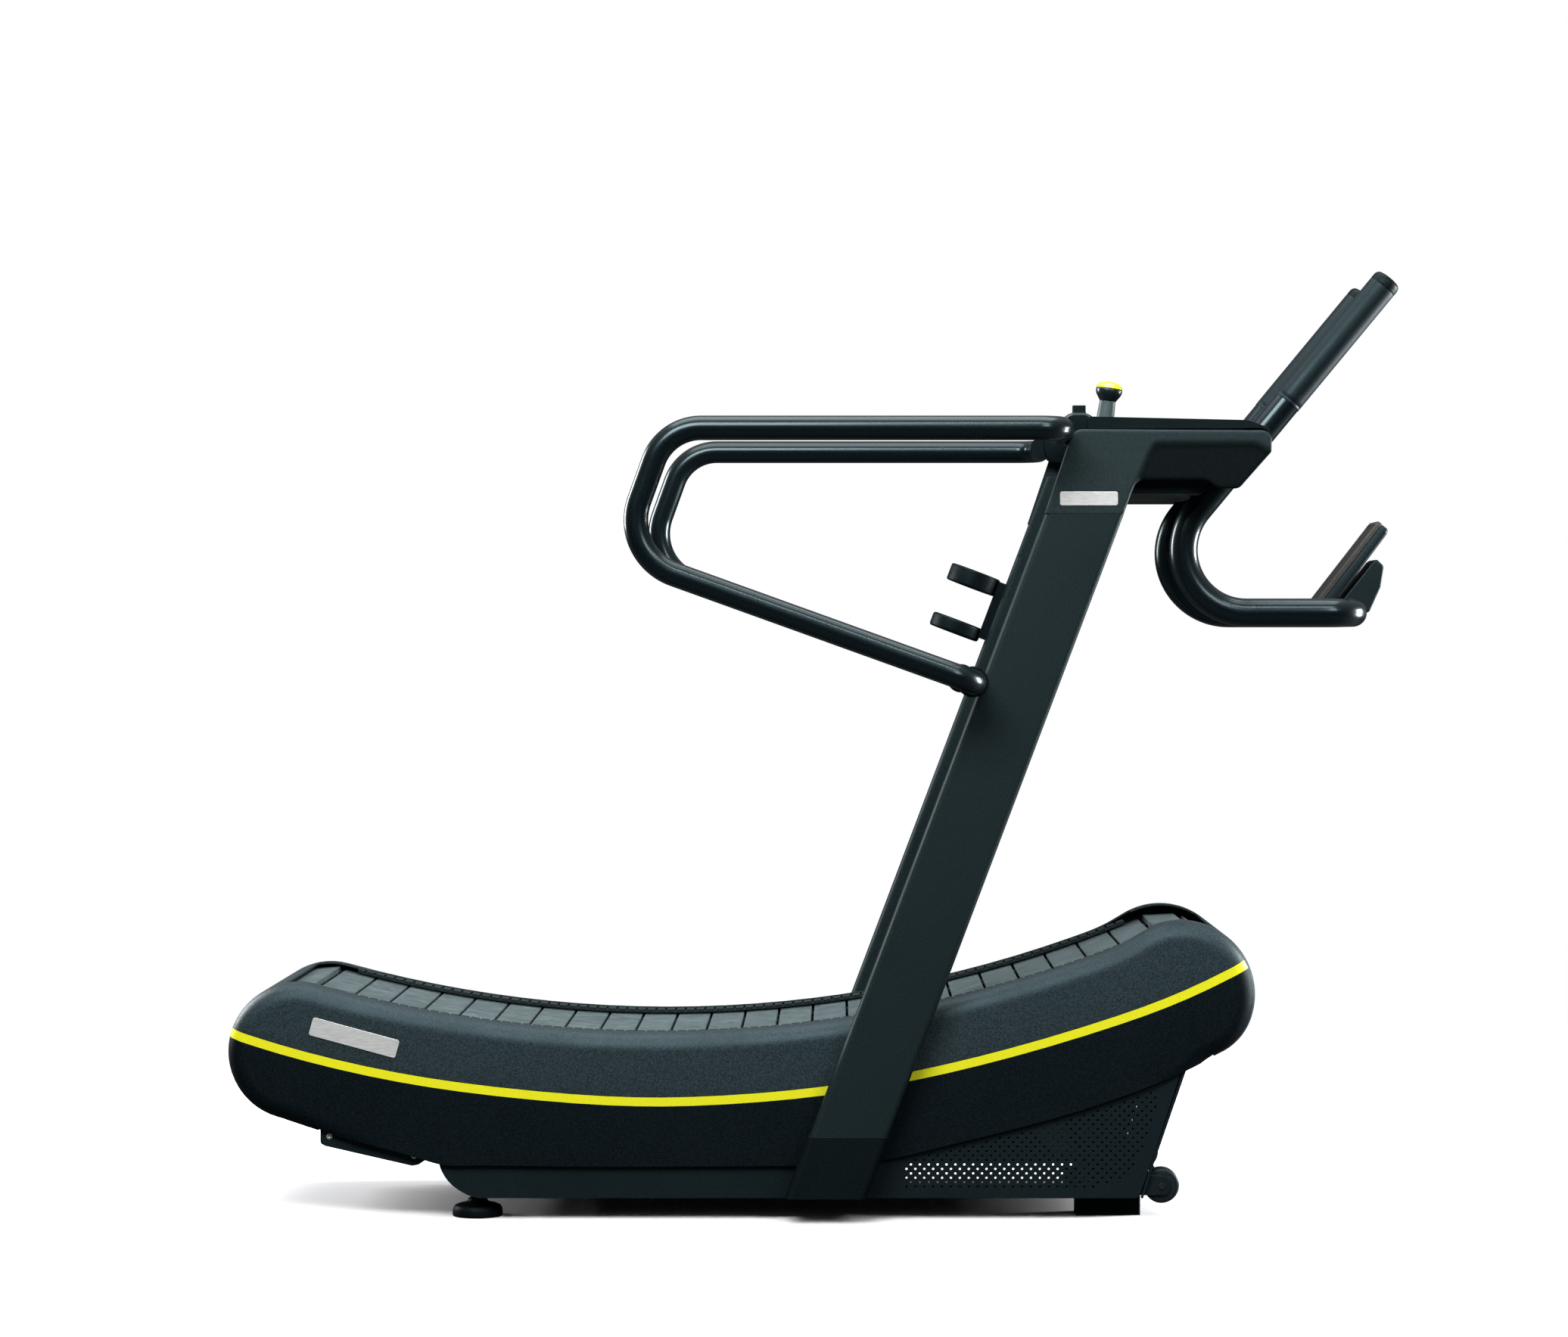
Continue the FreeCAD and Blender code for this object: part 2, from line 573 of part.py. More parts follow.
# ---------------------------------------------------------------- frame
RP = R_PITCH - 5.4
arc_top = [pol(A, RP, ANG_R + 0.6 + (ANG_F - ANG_R - 1.4) * k / 30.0) for k in range(31)]
outline = arc_top + [(610, 486), (655, 470), (690, 430), (690, 370), (660, 322), (600, 284), (545, 256), (520, 236), (470, 210),
                     (463, 160), (455, 126), (430, 114), (405, 126), (397, 160), (392, 178),
                     (354, 158), (257, 134), (159, 110), (91, 94), (60, 90), (60, 50), (-668, 50), (-690, 96), (-722, 112), (-981, 184), (-1025, 210), (-1052, 250), (-1058, 292), (-1048, 340), (-1015, 378), (-975, 398), (-945, 402)]
frame = []
for s in (-1, 1):
    y0, y1 = sorted((s * PLATE_Y0, s * PLATE_Y1))
    pl = poly(outline, y0, y1)
    for c in (CF, CR):
        pl = pl.cut(rod_y(c[0], c[1], AXLE_R + 4.0, y0 - 1, y1 + 1))
    pl = pl.cut(rod_y(FLY_X, FLY_Z, 12.08, y0 - 1, y1 + 1))
    # lightening windows
    for x0, x1, z0, z1 in ((-560, -440, 118, 190), (-400, -280, 118, 190), (-240, -120, 118, 190), (-60, 50, 122, 195), (130, 230, 160, 225), (-860, -760, 170, 225)):
        w = Part.Face(Part.Wire(rounded([(x0, z0), (x1, z0), (x1, z1), (x0, z1)], 18)))
        pl = pl.cut(prism(w, y0 - 1, y1 + 1))
    frame.append(pl)
    frame.append(box(-668, 60, *sorted((s * 180.0, s * PLATE_Y0)), 52, 92))
    frame.append(box(60, 520, *sorted((s * 196.0, s * PLATE_Y0)), 40, 52))
    frame.append(box(40, 60, *sorted((s * 196.0, s * PLATE_Y0)), 40, 60))
for x in (-800, -560, -320, -80, 160, 400):
    zt = arc_z(x, R_PITCH + 26.5)
    zb = run_pt(x - REAR_X, -14.0)[1]
    zc = (zt + zb) / 2.0
    frame.append(box(x - 28, x + 28, -PLATE_Y0 - 2, PLATE_Y0 + 2, zc - 9, zc + 9))
frame.append(box(CROSS[0], CROSS[1], -277.9, 277.9, CROSS[2], CROSS[3]))
frame.append(box(-668, -612, -PLATE_Y0, PLATE_Y0, 52, 92))
frame.append(box(440, 500, -PLATE_Y0, PLATE_Y0, 34, 60))
frame.append(box(506, 514, -PLATE_Y0, PLATE_Y0, 40, 74))
# guide for the magnet carrier
frame.append(box(246, 252, 140, PLATE_Y0 + 2, 118, 170))
frame.append(Part.makeCylinder(6.0, 90.0, Vector(250 + XS, 157.0, FLY_Z), Vector(1, 0, 0)))
# wheel forks
WHEEL = (562.0, 58.0)
for s in (-1, 1):
    for w in (213.0, 251.0):
        y0, y1 = sorted((s * w, s * (w + 5.0)))
        fork = prism(Part.Face(Part.Wire(rounded([(506, 42), (575, 42), (578, 74), (506, 80)], [1, 13, 13, 1]))), y0, y1)
        frame.append(fork)
    frame.append(box(506, 514, *sorted((s * 213.0, s * 256.0)), 42, 74))
fr = fuse(frame)
for s in (-1, 1):
    fr = fr.cut(rod_y(WHEEL[0], WHEEL[1], 6.06, *sorted((s * 200.0, s * 262.0))))
    fr = fr.cut(Part.makeCylinder(8.06, 60.0, Vector(-637.0 + XS, s * 205.0, 45.0)))
print("frame solids", len(fr.Solids))
export("base_frame", fr)

# transport wheels, each pair of tyre and hub on one through pin
wh = []
for s in (-1, 1):
    y0, y1 = sorted((s * 219.0, s * 250.0))
    w = rod_y(WHEEL[0], WHEEL[1], 31.0, y0, y1)
    w = soften(w, lambda e: len(e.Vertexes) == 1 and e.BoundBox.ZLength > 50, 6.0)
    wh.append(w)
pin = rod_y(WHEEL[0], WHEEL[1], 6.0, -258.0, 258.0)
wheels = fuse(wh + [pin])
export("transport_wheels", wheels)


# levelling feet
def foot(s):
    cx, cy = -637.0 + XS, s * 205.0
    prof = [Vector(0, 0, 0), Vector(43, 0, 0), Vector(44, 0, 3), Vector(43.4, 0, 13), Vector(40, 0, 18.5), Vector(33, 0, 21.5), Vector(22, 0, 23.5), Vector(17.5, 0, 27), Vector(16, 0, 31), Vector(12, 0, 33.5), Vector(8, 0, 34), Vector(8, 0, 96), Vector(0, 0, 96)]
    f = Part.Face(Part.makePolygon(prof + [prof[0]])).revolve(Vector(0, 0, 0), Vector(0, 0, 1), 360)
    nut = Part.Face(Part.makePolygon([Vector(13 * math.cos(math.radians(60 * k)), 13 * math.sin(math.radians(60 * k)), 0) for k in range(7)])).extrude(Vector(0, 0, 6))
    nut.translate(Vector(0, 0, 34))
    f = f.fuse(nut).removeSplitter()
    f.translate(Vector(cx, cy, 0))
    return f


export("levelling_foot_right", foot(-1))
export("levelling_foot_left", foot(1))

fb = []
for s in (-1, 1):
    y0, y1 = sorted((s * 150.0, s * 205.0))
    b = box(414, 528, y0, y1, 0, 34)
    b = soften(b, lambda e: abs(e.BoundBox.ZLength - 34) < 0.01 and e.BoundBox.XLength < 0.01, 4.0)
    fb.append(b)
export("front_foot_blocks", Part.makeCompound(fb))


# ---------------------------------------------------------------- posts
def post_x(z):
    return POST_X0 + (z - POST_Z0) * POST_SLOPE


def post_prism(z0, z1, grow, y0, y1, r):
    g = grow * math.hypot(1, POST_SLOPE)
    s = poly([(post_x(z0) - g, z0), (post_x(z0) + POST_W + g, z0), (post_x(z1) + POST_W + g, z1), (post_x(z1) - g, z1)], y0, y1)
    return soften(s, lambda e: e.BoundBox.ZLength > 0.9 * (z1 - z0), r)


def tube(path_edges, r, start, direction):
    w = Part.Wire(path_edges)
    c = Part.Wire([Part.Circle(start, direction, r).toShape()])
    return w.makePipeShell([c], True, True)


def tube_arcs(pts, radii, r):
    """Bent round tube through the corner points, one bend radius per inner corner."""
    p = [Vector(*q) for q in pts]
    edges = []
    cur = p[0]
    for i in range(1, len(p) - 1):
        a, b = (p[i - 1] - p[i]), (p[i + 1] - p[i])
        a.normalize()
        b.normalize()
        ang = a.getAngle(b)
        R = radii[i - 1]
        t = R / math.tan(ang / 2)
        s, e = p[i] + a * t, p[i] + b * t
        bis = a + b
        bis.normalize()
        m = p[i] + bis * (R / math.sin(ang / 2) - R)
        if (s - cur).Length > 1e-6:
            edges.append(Part.makeLine(cur, s))
        edges.append(Part.Arc(s, m, e).toShape())
        cur = e
    edges.append(Part.makeLine(cur, p[-1]))
    d0 = p[1] - p[0]
    d0.normalize()
    return tube(edges, r, p[0], d0)


# side handrail: level top bar, bend, straight rear leg, square bend, sloping lower leg; both ends turn in to the post
RB1, RB2 = 86.0, 98.0                      # upper and lower rear bend radii
leg_a = -19.8
leg_d = (math.cos(math.radians(leg_a)), math.sin(math.radians(leg_a)))
back_d = (leg_d[1], -leg_d[0])             # down the rear leg, square to the lower leg
end_lo = (229.0, 939.23)
top_c = (-296.6, RAIL_Z)                   # corner of the top bar's and the rear leg's centre lines
kk = (end_lo[0] - top_c[0]) * leg_d[0] + (end_lo[1] - top_c[1]) * leg_d[1]
low_c = (end_lo[0] - leg_d[0] * kk, end_lo[1] - leg_d[1] * kk)
t1, t2 = RB1 * math.tan(math.radians((90.0 + leg_a) / 2.0)), RB2
bc1 = (top_c[0] + t1, RAIL_Z - RB1)
bc2 = (low_c[0] - back_d[0] * t2 + leg_d[0] * RB2, low_c[1] - back_d[1] * t2 + leg_d[1] * RB2)
end_hi = (379.0, RAIL_Z)


def P3(x, y, z):
    return Vector(x + XS, y, z)


def rail():
    e = []
    k = 42.0                               # bend radius where the tube turns in
    a = P3(end_hi[0], -287.0, end_hi[1])
    b0 = P3(end_hi[0], -RAIL_Y + k, end_hi[1])
    bm = P3(end_hi[0] - k + k * math.cos(math.radians(45)), -RAIL_Y + k - k * math.sin(math.radians(45)), end_hi[1])
    b1 = P3(end_hi[0] - k, -RAIL_Y, end_hi[1])
    e += [Part.makeLine(a, b0), Part.Arc(b0, bm, b1).toShape()]
    c0 = P3(bc1[0], -RAIL_Y, RAIL_Z)
    e.append(Part.makeLine(b1, c0))
    a1 = 180.0 + leg_a
    q, m = pol(bc1, RB1, a1), pol(bc1, RB1, (90.0 + a1) / 2.0)
    c1 = P3(q[0], -RAIL_Y, q[1])
    e.append(Part.Arc(c0, P3(m[0], -RAIL_Y, m[1]), c1).toShape())
    q, m = pol(bc2, RB2, a1), pol(bc2, RB2, a1 + 45.0)
    c2 = P3(q[0], -RAIL_Y, q[1])
    e.append(Part.makeLine(c1, c2))
    q = pol(bc2, RB2, a1 + 90.0)
    c3 = P3(q[0], -RAIL_Y, q[1])
    e.append(Part.Arc(c2, P3(m[0], -RAIL_Y, m[1]), c3).toShape())
    L = P3(end_lo[0], -RAIL_Y, end_lo[1])
    dv = Vector(leg_d[0], 0, leg_d[1])
    d0 = L - dv * k
    e.append(Part.makeLine(c3, d0))
    dm = d0 + dv * (k * math.sin(math.radians(45))) + Vector(0, k - k * math.cos(math.radians(45)), 0)
    d1 = L + Vector(0, k, 0)
    e.append(Part.Arc(d0, dm, d1).toShape())
    f = P3(end_lo[0], -285.0, end_lo[1])
    e.append(Part.makeLine(d1, f))
    return tube(e, RAIL_R, a, Vector(0, -1, 0))


rail_r = rail()
print("rail", rail_r.isValid(), rail_r.Volume)
KN = (382.5, 444.5, 1343.5, 1405.5)
knuckle = prism(Part.Face(Part.Wire(rounded([(KN[0], KN[2]), (KN[1], KN[2]), (KN[1], KN[3]), (KN[0], KN[3])], 24))), -313.0, -284.0)
knuckle = soften(knuckle, lambda e: at_y(-313.0)(e) or at_y(-284.0)(e), 3.0)
link = box(379, 414, -310, -287, 1355, 1389)
handrail = fuse([rail_r, knuckle, link])
BT = (403.4, 426.0, -309.0, -288.0)
handrail = handrail.cut(box(BT[0] - 0.5, BT[1] + 0.5, BT[2] - 0.5, BT[3] + 0.5, 1391.0, 1420.0))
export("handrail_right", biggest(handrail))
export("handrail_left", mir(biggest(handrail)))

bt = box(BT[0], BT[1], BT[2], BT[3], 1396.0, 1418.4)
bt = soften(bt, lambda e: abs(e.BoundBox.ZLength - 22.4) < 0.01 and e.BoundBox.XLength < 0.01, 2.5)
bt = soften(bt, lambda e: e.BoundBox.ZMin > 1418.3, 1.0)
export("button_right", bt)
export("button_left", mir(bt))

# box section to the head seam, then a slimmer box section inside the head
HEAD_Y = 319.8
post = post_prism(POST_Z0 + 3, SEAM_HIGH - 0.3, 0.0, -POST_Y1, -POST_Y0, 10.0)
post = post.fuse(post_prism(SEAM_HIGH - 60, 1318.0, 0.0, -HEAD_Y, -POST_Y0, 6.0))
post = post.cut(post_prism(POST_Z0 + 2, SEAM_HIGH - 10.0, -5.0, -POST_Y1 + 5, -POST_Y0 - 5, 5.0))
post = post.cut(post_prism(SEAM_HIGH - 40, 1319.0, -5.0, -HEAD_Y + 5, -POST_Y0 - 5, 3.0))
post = post.cut(rail_r).cut(knuckle).cut(link)
post = post.fuse(post_prism(POST_Z0 + 3, POST_Z0 + 9, -0.4, -POST_Y1 + 0.5, -POST_Y0 - 0.5, 9.0)).removeSplitter()
export("post_right", biggest(post))
export("post_left", mir(biggest(post)))

boot = post_prism(POST_Z0, SEAM_LOW, 2.6, -POST_Y1 - 2.6, -POST_Y0 + 1.8, 12.0)
boot = boot.cut(post_prism(POST_Z0 - 5, SEAM_LOW + 5, 0.15, -POST_Y1 - 0.15, -POST_Y0 + 0.15, 10.0))
boot = boot.cut(box(CROSS[0] - 1.5, CROSS[1] + 1.5, -278.5, -200, CROSS[2] - 1.5, CROSS[3] + 1.5))
export("post_boot_right", biggest(boot))
export("post_boot_left", mir(biggest(boot)))

# ---------------------------------------------------------------- head
hp_pts = [(post_x(SEAM_HIGH) - 2.0, SEAM_HIGH), (403.0, 1376.0), (746.5, 1374.0), (746.0, 1337.0), (690.0, 1273.5), (652.0, 1273.5), (634.0, 1288.8), (513.0, 1288.8), (486.9 + 2.0, SEAM_HIGH)]
hp_rad = [1.0, 22.0, 26.0, 8.0, 16.0, 34.0, 30.0, 22.0, 1.0]
head = prism(Part.Face(Part.Wire(rounded(hp_pts, hp_rad))), -332.6, -320.0)
head = soften(head, lambda e: at_y(-332.6)(e) and e.BoundBox.ZMax > SEAM_HIGH + 1, 4.0)
rc_pts = [(500.0, 1268.0), (533.0, 1340.0), (541.0, 1353.5), (724.0, 1353.5), (752.0, 1333.0), (752.0, 1200.0), (500.0, 1200.0)]
rc = prism(Part.Face(Part.Wire(rounded(rc_pts, [0, 16, 16, 40, 0, 0, 0]))), -340.0, -327.5)
head = biggest(head.cut(rc))
export("head_panel_right", biggest(head))
export("head_panel_left", mir(biggest(head)))

# low U-bar under the head and the long push handles, one centre line on each side
UB_A = 50.4
U_C, U_R = (717.9, 1171.0), 111.0
Z_LOW = 1060.0
u_t = pol(U_C, U_R, 90.0 + UB_A)
ud = (math.cos(math.radians(UB_A)), math.sin(math.radians(UB_A)))
u_top = (u_t[0] + ud[0] * 138.0, u_t[1] + ud[1] * 138.0)
X_BAR = 912.0


def low_bar():
    k = 52.0
    e = []
    for s in (-1, 1):
        top = P3(u_top[0], s * TUBE_Y, u_top[1])
        t0 = P3(u_t[0], s * TUBE_Y, u_t[1])
        qm = pol(U_C, U_R, (90.0 + UB_A + 270.0) / 2.0)
        t1 = P3(U_C[0], s * TUBE_Y, Z_LOW)
        b0 = P3(X_BAR - k, s * TUBE_Y, Z_LOW)
        b1 = P3(X_BAR, s * (TUBE_Y - k), Z_LOW)
        bm = P3(X_BAR - k + k * math.sin(math.radians(45)), s * (TUBE_Y - k + k * math.cos(math.radians(45))), Z_LOW)
        e.append([Part.makeLine(top, t0), Part.Arc(t0, P3(qm[0], s * TUBE_Y, qm[1]), t1).toShape(), Part.makeLine(t1, b0), Part.Arc(b0, bm, b1).toShape(), b1])
    a, b = e
    path = a[:4] + [Part.makeLine(a[4], b[4])] + [b[3], b[2], b[1], b[0]]
    return tube(Part.__sortEdges__(path), TUBE_R, P3(u_top[0], -TUBE_Y, u_top[1]), Vector(-ud[0], 0, -ud[1]))


lowbar = low_bar()
print("low bar", lowbar.isValid(), lowbar.Volume)


def along(p, y, L0, L1, r):
    """Round bar along the push handle line, from L0 to L1 past the point p."""
    return Part.makeCylinder(r, L1 - L0, Vector(p[0] + ud[0] * L0 + XS, y, p[1] + ud[1] * L0), Vector(ud[0], 0, ud[1]))


# the push handle plugs on where the low bar ends, inside the head
H0, H1 = 138.3, 511.0
handle = along(u_t, -TUBE_Y, H0, 246.0, TUBE_R)
handle = handle.fuse(along(u_t, -TUBE_Y, 246.0, H1, GRIP_R)).removeSplitter()
export("push_handle_right", handle)
export("push_handle_left", mir(handle))
cap = along(u_t, -TUBE_Y, H1 + 0.2, H1 + 19.0, GRIP_R)
cap = soften(cap, lambda e: len(e.Vertexes) == 1 and e.Length > 100 and e.BoundBox.ZMax > u_t[1] + ud[1] * (H1 + 18), 9.0)
export("handle_end_caps", Part.makeCompound([cap, mir(cap)]))
export("low_handlebar", lowbar)

beam_w = rounded([(500, 1266), (640, 1266), (640, 1372), (500, 1372)], 14)
beam = prism(Part.Face(Part.Wire(beam_w)), -277.9, 277.9)
beam_i = prism(Part.Face(Part.Wire(rounded([(504, 1270), (636, 1270), (636, 1368), (504, 1368)], 10))), -270, 270)
beam = beam.cut(beam_i)
lugs = []
for s in (-1, 1):
    lugs.append(box(636, 700, *sorted((s * 158.0, s * 182.0)), 1300, 1350))
beam = fuse([beam] + lugs)
beam = beam.cut(lowbar).cut(handle).cut(mir(handle))
lever_x, lever_y, lever_z = 456.4, -215.0, 1335.0
beam = beam.cut(box(640.5, 780, -190, -150, 1250, 1300))
export("console_beam", max(beam.Solids, key=lambda q: q.Volume))

cc = rounded([(429.0, 1344.0), (429.0, 1398.6), (706.0, 1392.4), (745.6, 1378.0), (745.6, 1336.0), (735.0, 1324.0), (731.5, 1327.5), (741.2, 1338.0), (741.2, 1374.6), (704.0, 1388.0), (433.0, 1394.0), (433.0, 1344.0)], [0, 8, 30, 14, 4, 1, 1, 2, 10, 26, 4, 0])
cover = prism(Part.Face(Part.Wire(cc)), -318.6, 318.6)
sidew = rounded([(429.0, 1376.6), (429.0, 1398.6), (706.0, 1392.4), (744.0, 1378.6)], [0, 8, 30, 1])
for s in (-1, 1):
    cover = cover.fuse(prism(Part.Face(Part.Wire(sidew)), *sorted((s * 314.6, s * 318.6))))
cover = cover.removeSplitter()
for s in (-1, 1):
    cover = cover.cut(along(u_t, s * TUBE_Y, 0, 400, GRIP_R + 0.8))
    cover = cover.cut(box(370, KN[1] + 0.8, *sorted((s * 283.2, s * 313.8)), 1330, 1410))
cover = cover.cut(box(434.5, 514.0, lever_y - 17, lever_y + 17, 1380, 1410))
export("console_cover", biggest(cover))

# resistance lever
br = []
for s in (-1, 1):
    y0, y1 = sorted((lever_y + s * 11.0, lever_y + s * 16.0))
    br.append(prism(Part.Face(Part.Wire(rounded([(lever_x - 14, 1318), (500.0, 1318), (500.0, 1352), (lever_x - 14, 1352)], [10, 1, 1, 10]))), y0, y1))
br.append(rod_y(lever_x, lever_z, 6.0, lever_y - 17, lever_y + 17))
br.append(box(494.0, 500.0, lever_y - 16, lever_y + 16, 1318, 1352))
export("lever_bracket", fuse(br))

lean = math.radians(8.0)


def rev(prof):
    f = Part.Face(Part.makePolygon([Vector(r, 0, z) for r, z in prof] + [Vector(prof[0][0], 0, prof[0][1])])).revolve(Vector(0, 0, 0), Vector(0, 0, 1), 360)
    f.rotate(Vector(0, 0, 0), Vector(0, 1, 0), math.degrees(lean))
    f.translate(Vector(lever_x + XS, lever_y, lever_z))
    return f


lever = rev([(0, 0), (9, 0), (9.4, 38), (13.2, 42), (15.6, 60), (15.2, 76), (14.3, 96), (15.4, 99), (18.5, 103.5), (22.0, 108.5), (23.2, 113), (23.1, 118.5), (0, 118.5)])
hub = rod_y(lever_x, lever_z, 12.5, lever_y - 10.4, lever_y + 10.4)
lever = lever.fuse(hub).removeSplitter().cut(rod_y(lever_x, lever_z, 6.06, lever_y - 20, lever_y + 20))
export("gear_lever", lever)
export("lever_cap", rev([(0, 118.8), (23.1, 118.8), (22.4, 121.5), (20.0, 125), (15.5, 128.2), (8.7, 130.3), (0, 131.0)]))

# ---------------------------------------------------------------- display
dd = (math.cos(math.radians(52.2)), math.sin(math.radians(52.2)))
dn = (dd[1], -dd[0])
top_pt = (965.4, 1225.0)


def dp(l, t):
    return (top_pt[0] - dd[0] * l + dn[0] * t, top_pt[1] - dd[1] * l + dn[1] * t)


DL = 206.0
body = prism(Part.Face(Part.Wire(rounded([dp(0, 9.2), dp(DL, 9.2), dp(DL, 31.0), dp(0, 27.4)], [1.5, 1.5, 6, 7]))), -58.5, 58.5)
body = soften(body, lambda e: e.BoundBox.YLength < 0.01 and e.Length > 100 and False, 2.0)
wedge_cut = lowbar
disp_body = body.cut(lowbar)
export("display_body", biggest(disp_body))
scr = prism(Part.Face(Part.Wire(rounded([dp(-1.0, 0.0), dp(DL + 1, 0.0), dp(DL + 1, 8.8), dp(-1.0, 8.8)], [3, 3, 1, 1]))), -60.0, 60.0)
scr = scr.cut(lowbar)
export("display_screen", biggest(scr))
mw = rounded([(907.0, 1066.0), (951.0, 1060.0), (972.5, 1107.3), (978.5, 1144.0), (964.5, 1157.5), (957.0, 1152.0), (900.0, 1081.0)], [6, 8, 14, 10, 7, 2, 2])
mount = prism(Part.Face(Part.Wire(mw)), -46.0, 46.0)
mount = soften(mount, lambda e: at_y(-46.0)(e) or at_y(46.0)(e), 4.0)
mount = mount.cut(lowbar).cut(body)
export("display_mount", biggest(mount))

# ---------------------------------------------------------------- bottle holder, on the rear edge of the left post
bt_t = math.atan(POST_SLOPE)
bax = Vector(math.sin(bt_t), 0, math.cos(bt_t))
by = 305.0
HOLD_R = 48.5
c0 = Vector(213.1 + XS, by, 1024.5)      # middle of the cup's underside


def bcyl(h0, h1, r):
    return Part.makeCylinder(r, h1 - h0, c0 + bax * h0, bax)


def round_ends(s, r):
    return soften(s, lambda e: len(e.Vertexes) == 1, r)


cup = round_ends(bcyl(0, 26.5, HOLD_R), 5.0)
ringb = round_ends(bcyl(91.5, 124.0, HOLD_R), 3.5)
out_dir = Vector(math.cos(bt_t), 0, -math.sin(bt_t))


def spine():
    p = [c0 + out_dir * 46.0 + bax * 9.0, c0 + out_dir * 60.7 + bax * 9.0, c0 + out_dir * 60.7 + bax * 121.0, c0 + out_dir * 46.0 + bax * 121.0]
    q = [Vector(v.x, by - 16.5, v.z) for v in p]
    return Part.Face(Part.makePolygon(q + [q[0]])).extrude(Vector(0, 33, 0))


holder = fuse([cup, ringb, spine()])
holder = holder.cut(bcyl(4.0, 200.0, HOLD_R - 4.5))
export("bottle_holder", biggest(holder))

# ---------------------------------------------------------------- brake
fly = fuse([rod_y(FLY_X, FLY_Z, FLY_R, FLY_Y0, FLY_Y1), rod_y(FLY_X, FLY_Z, 12.0, -231.0, 260.0), rod_y(FLY_X, FLY_Z, 26.0, 120.0, 150.0), rod_y(FLY_X, FLY_Z, 24.0, 240.0, 258.0)])
export("flywheel", fly)

mg = []
mg.append(box(292, 306, 139.0, 175.0, 128, 172))
mg.append(box(292, 360, 139.0, 146.0, 128, 172))
mg.append(box(292, 360, 168.0, 175.0, 128, 172))
for q in (138.0, 162.0):
    for yy in ((145.5, 148.6), (165.4, 168.5)):
        mg.append(rod_y(340, q, 9.0, *yy))
m = fuse(mg).cut(Part.makeCylinder(6.06, 140.0, Vector(240 + XS, 157.0, FLY_Z), Vector(1, 0, 0)))
export("brake_magnet", m)


# ribbed belt from the front axle to the flywheel
def belt_loop(c1, r1, c2, r2, t, y0, y1):
    def hull(ra, rb):
        dx, dz = c2[0] - c1[0], c2[1] - c1[1]
        L = math.hypot(dx, dz)
        base = math.degrees(math.atan2(dz, dx))
        off = math.degrees(math.acos((ra - rb) / L))
        a, b = base + off, base - off
        return face([arc(c1, ra, a, b + 360), seg(pol(c1, ra, b), pol(c2, rb, b)), arc(c2, rb, b, a), seg(pol(c2, rb, a), pol(c1, ra, a))])
    return prism(hull(r1 + t, r2 + t), y0, y1).cut(prism(hull(r1, r2), y0 - 1, y1 + 1))


bl = belt_loop(CF, 62.3, (FLY_X, FLY_Z), 24.3, 3.0, 241.0, 257.0)
export("brake_belt", bl)

# screws: cover plates at the rear, post feet
sc = []
for s in (-1, 1):
    for q in SCREWS:
        hd = rod_y(q[0], q[1], 5.4, *sorted((s * 259.0, s * 261.2)))
        hd = soften(hd, lambda e: len(e.Vertexes) == 1 and False, 1.0)
        hx = Part.Face(Part.makePolygon([Vector(q[0] + XS + 2.3 * math.cos(math.radians(60 * k)), 0, q[1] + 2.3 * math.sin(math.radians(60 * k))) for k in range(7)]))
        hx.translate(Vector(0, min(s * 260.0, s * 263.2), 0))
        hd = hd.cut(hx.extrude(Vector(0, 3.2, 0)))
        sc.append(hd.fuse(rod_y(q[0], q[1], 3.0, *sorted((s * 252.0, s * 259.1)))).removeSplitter())
export("cover_screws", Part.makeCompound(sc))

print("BOX x %.3f %.3f  y %.3f %.3f  z %.3f %.3f  mid x %.4f" % (
    min(b.XMin for b in ALL), max(b.XMax for b in ALL), min(b.YMin for b in ALL), max(b.YMax for b in ALL),
    min(b.ZMin for b in ALL), max(b.ZMax for b in ALL), (min(b.XMin for b in ALL) + max(b.XMax for b in ALL)) / 2))
print("nodes", len(ALL))
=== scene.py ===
import bpy, bmesh, math, json
import numpy as np
from mathutils import Vector, Matrix

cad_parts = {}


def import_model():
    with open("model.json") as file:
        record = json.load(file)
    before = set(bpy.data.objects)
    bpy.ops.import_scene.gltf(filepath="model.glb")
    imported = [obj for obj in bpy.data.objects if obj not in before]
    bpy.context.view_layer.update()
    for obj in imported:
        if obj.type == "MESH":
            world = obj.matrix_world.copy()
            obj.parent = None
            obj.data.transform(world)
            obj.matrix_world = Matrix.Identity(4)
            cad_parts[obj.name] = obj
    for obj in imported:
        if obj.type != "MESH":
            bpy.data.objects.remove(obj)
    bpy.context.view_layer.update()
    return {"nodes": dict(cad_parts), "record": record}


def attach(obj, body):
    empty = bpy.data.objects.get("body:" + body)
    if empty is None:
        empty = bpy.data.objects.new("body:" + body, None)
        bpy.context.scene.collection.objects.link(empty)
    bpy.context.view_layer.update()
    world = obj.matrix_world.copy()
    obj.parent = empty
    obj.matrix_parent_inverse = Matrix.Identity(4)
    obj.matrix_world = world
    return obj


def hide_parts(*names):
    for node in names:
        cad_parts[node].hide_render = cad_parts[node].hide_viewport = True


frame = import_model()
NODES = frame["nodes"]
XS = 0.041792
scene = bpy.context.scene


# ------------------------------------------------------------------ materials
def nt(mat):
    mat.use_nodes = True
    t = mat.node_tree
    t.nodes.clear()
    return t, t.nodes, t.links


def ramp(nodes, links, src, p0, p1, c0, c1):
    r = nodes.new("ShaderNodeMapRange")
    r.inputs["From Min"].default_value = p0
    r.inputs["From Max"].default_value = p1
    r.inputs["To Min"].default_value = c0
    r.inputs["To Max"].default_value = c1
    links.new(src, r.inputs["Value"])
    return r.outputs["Result"]


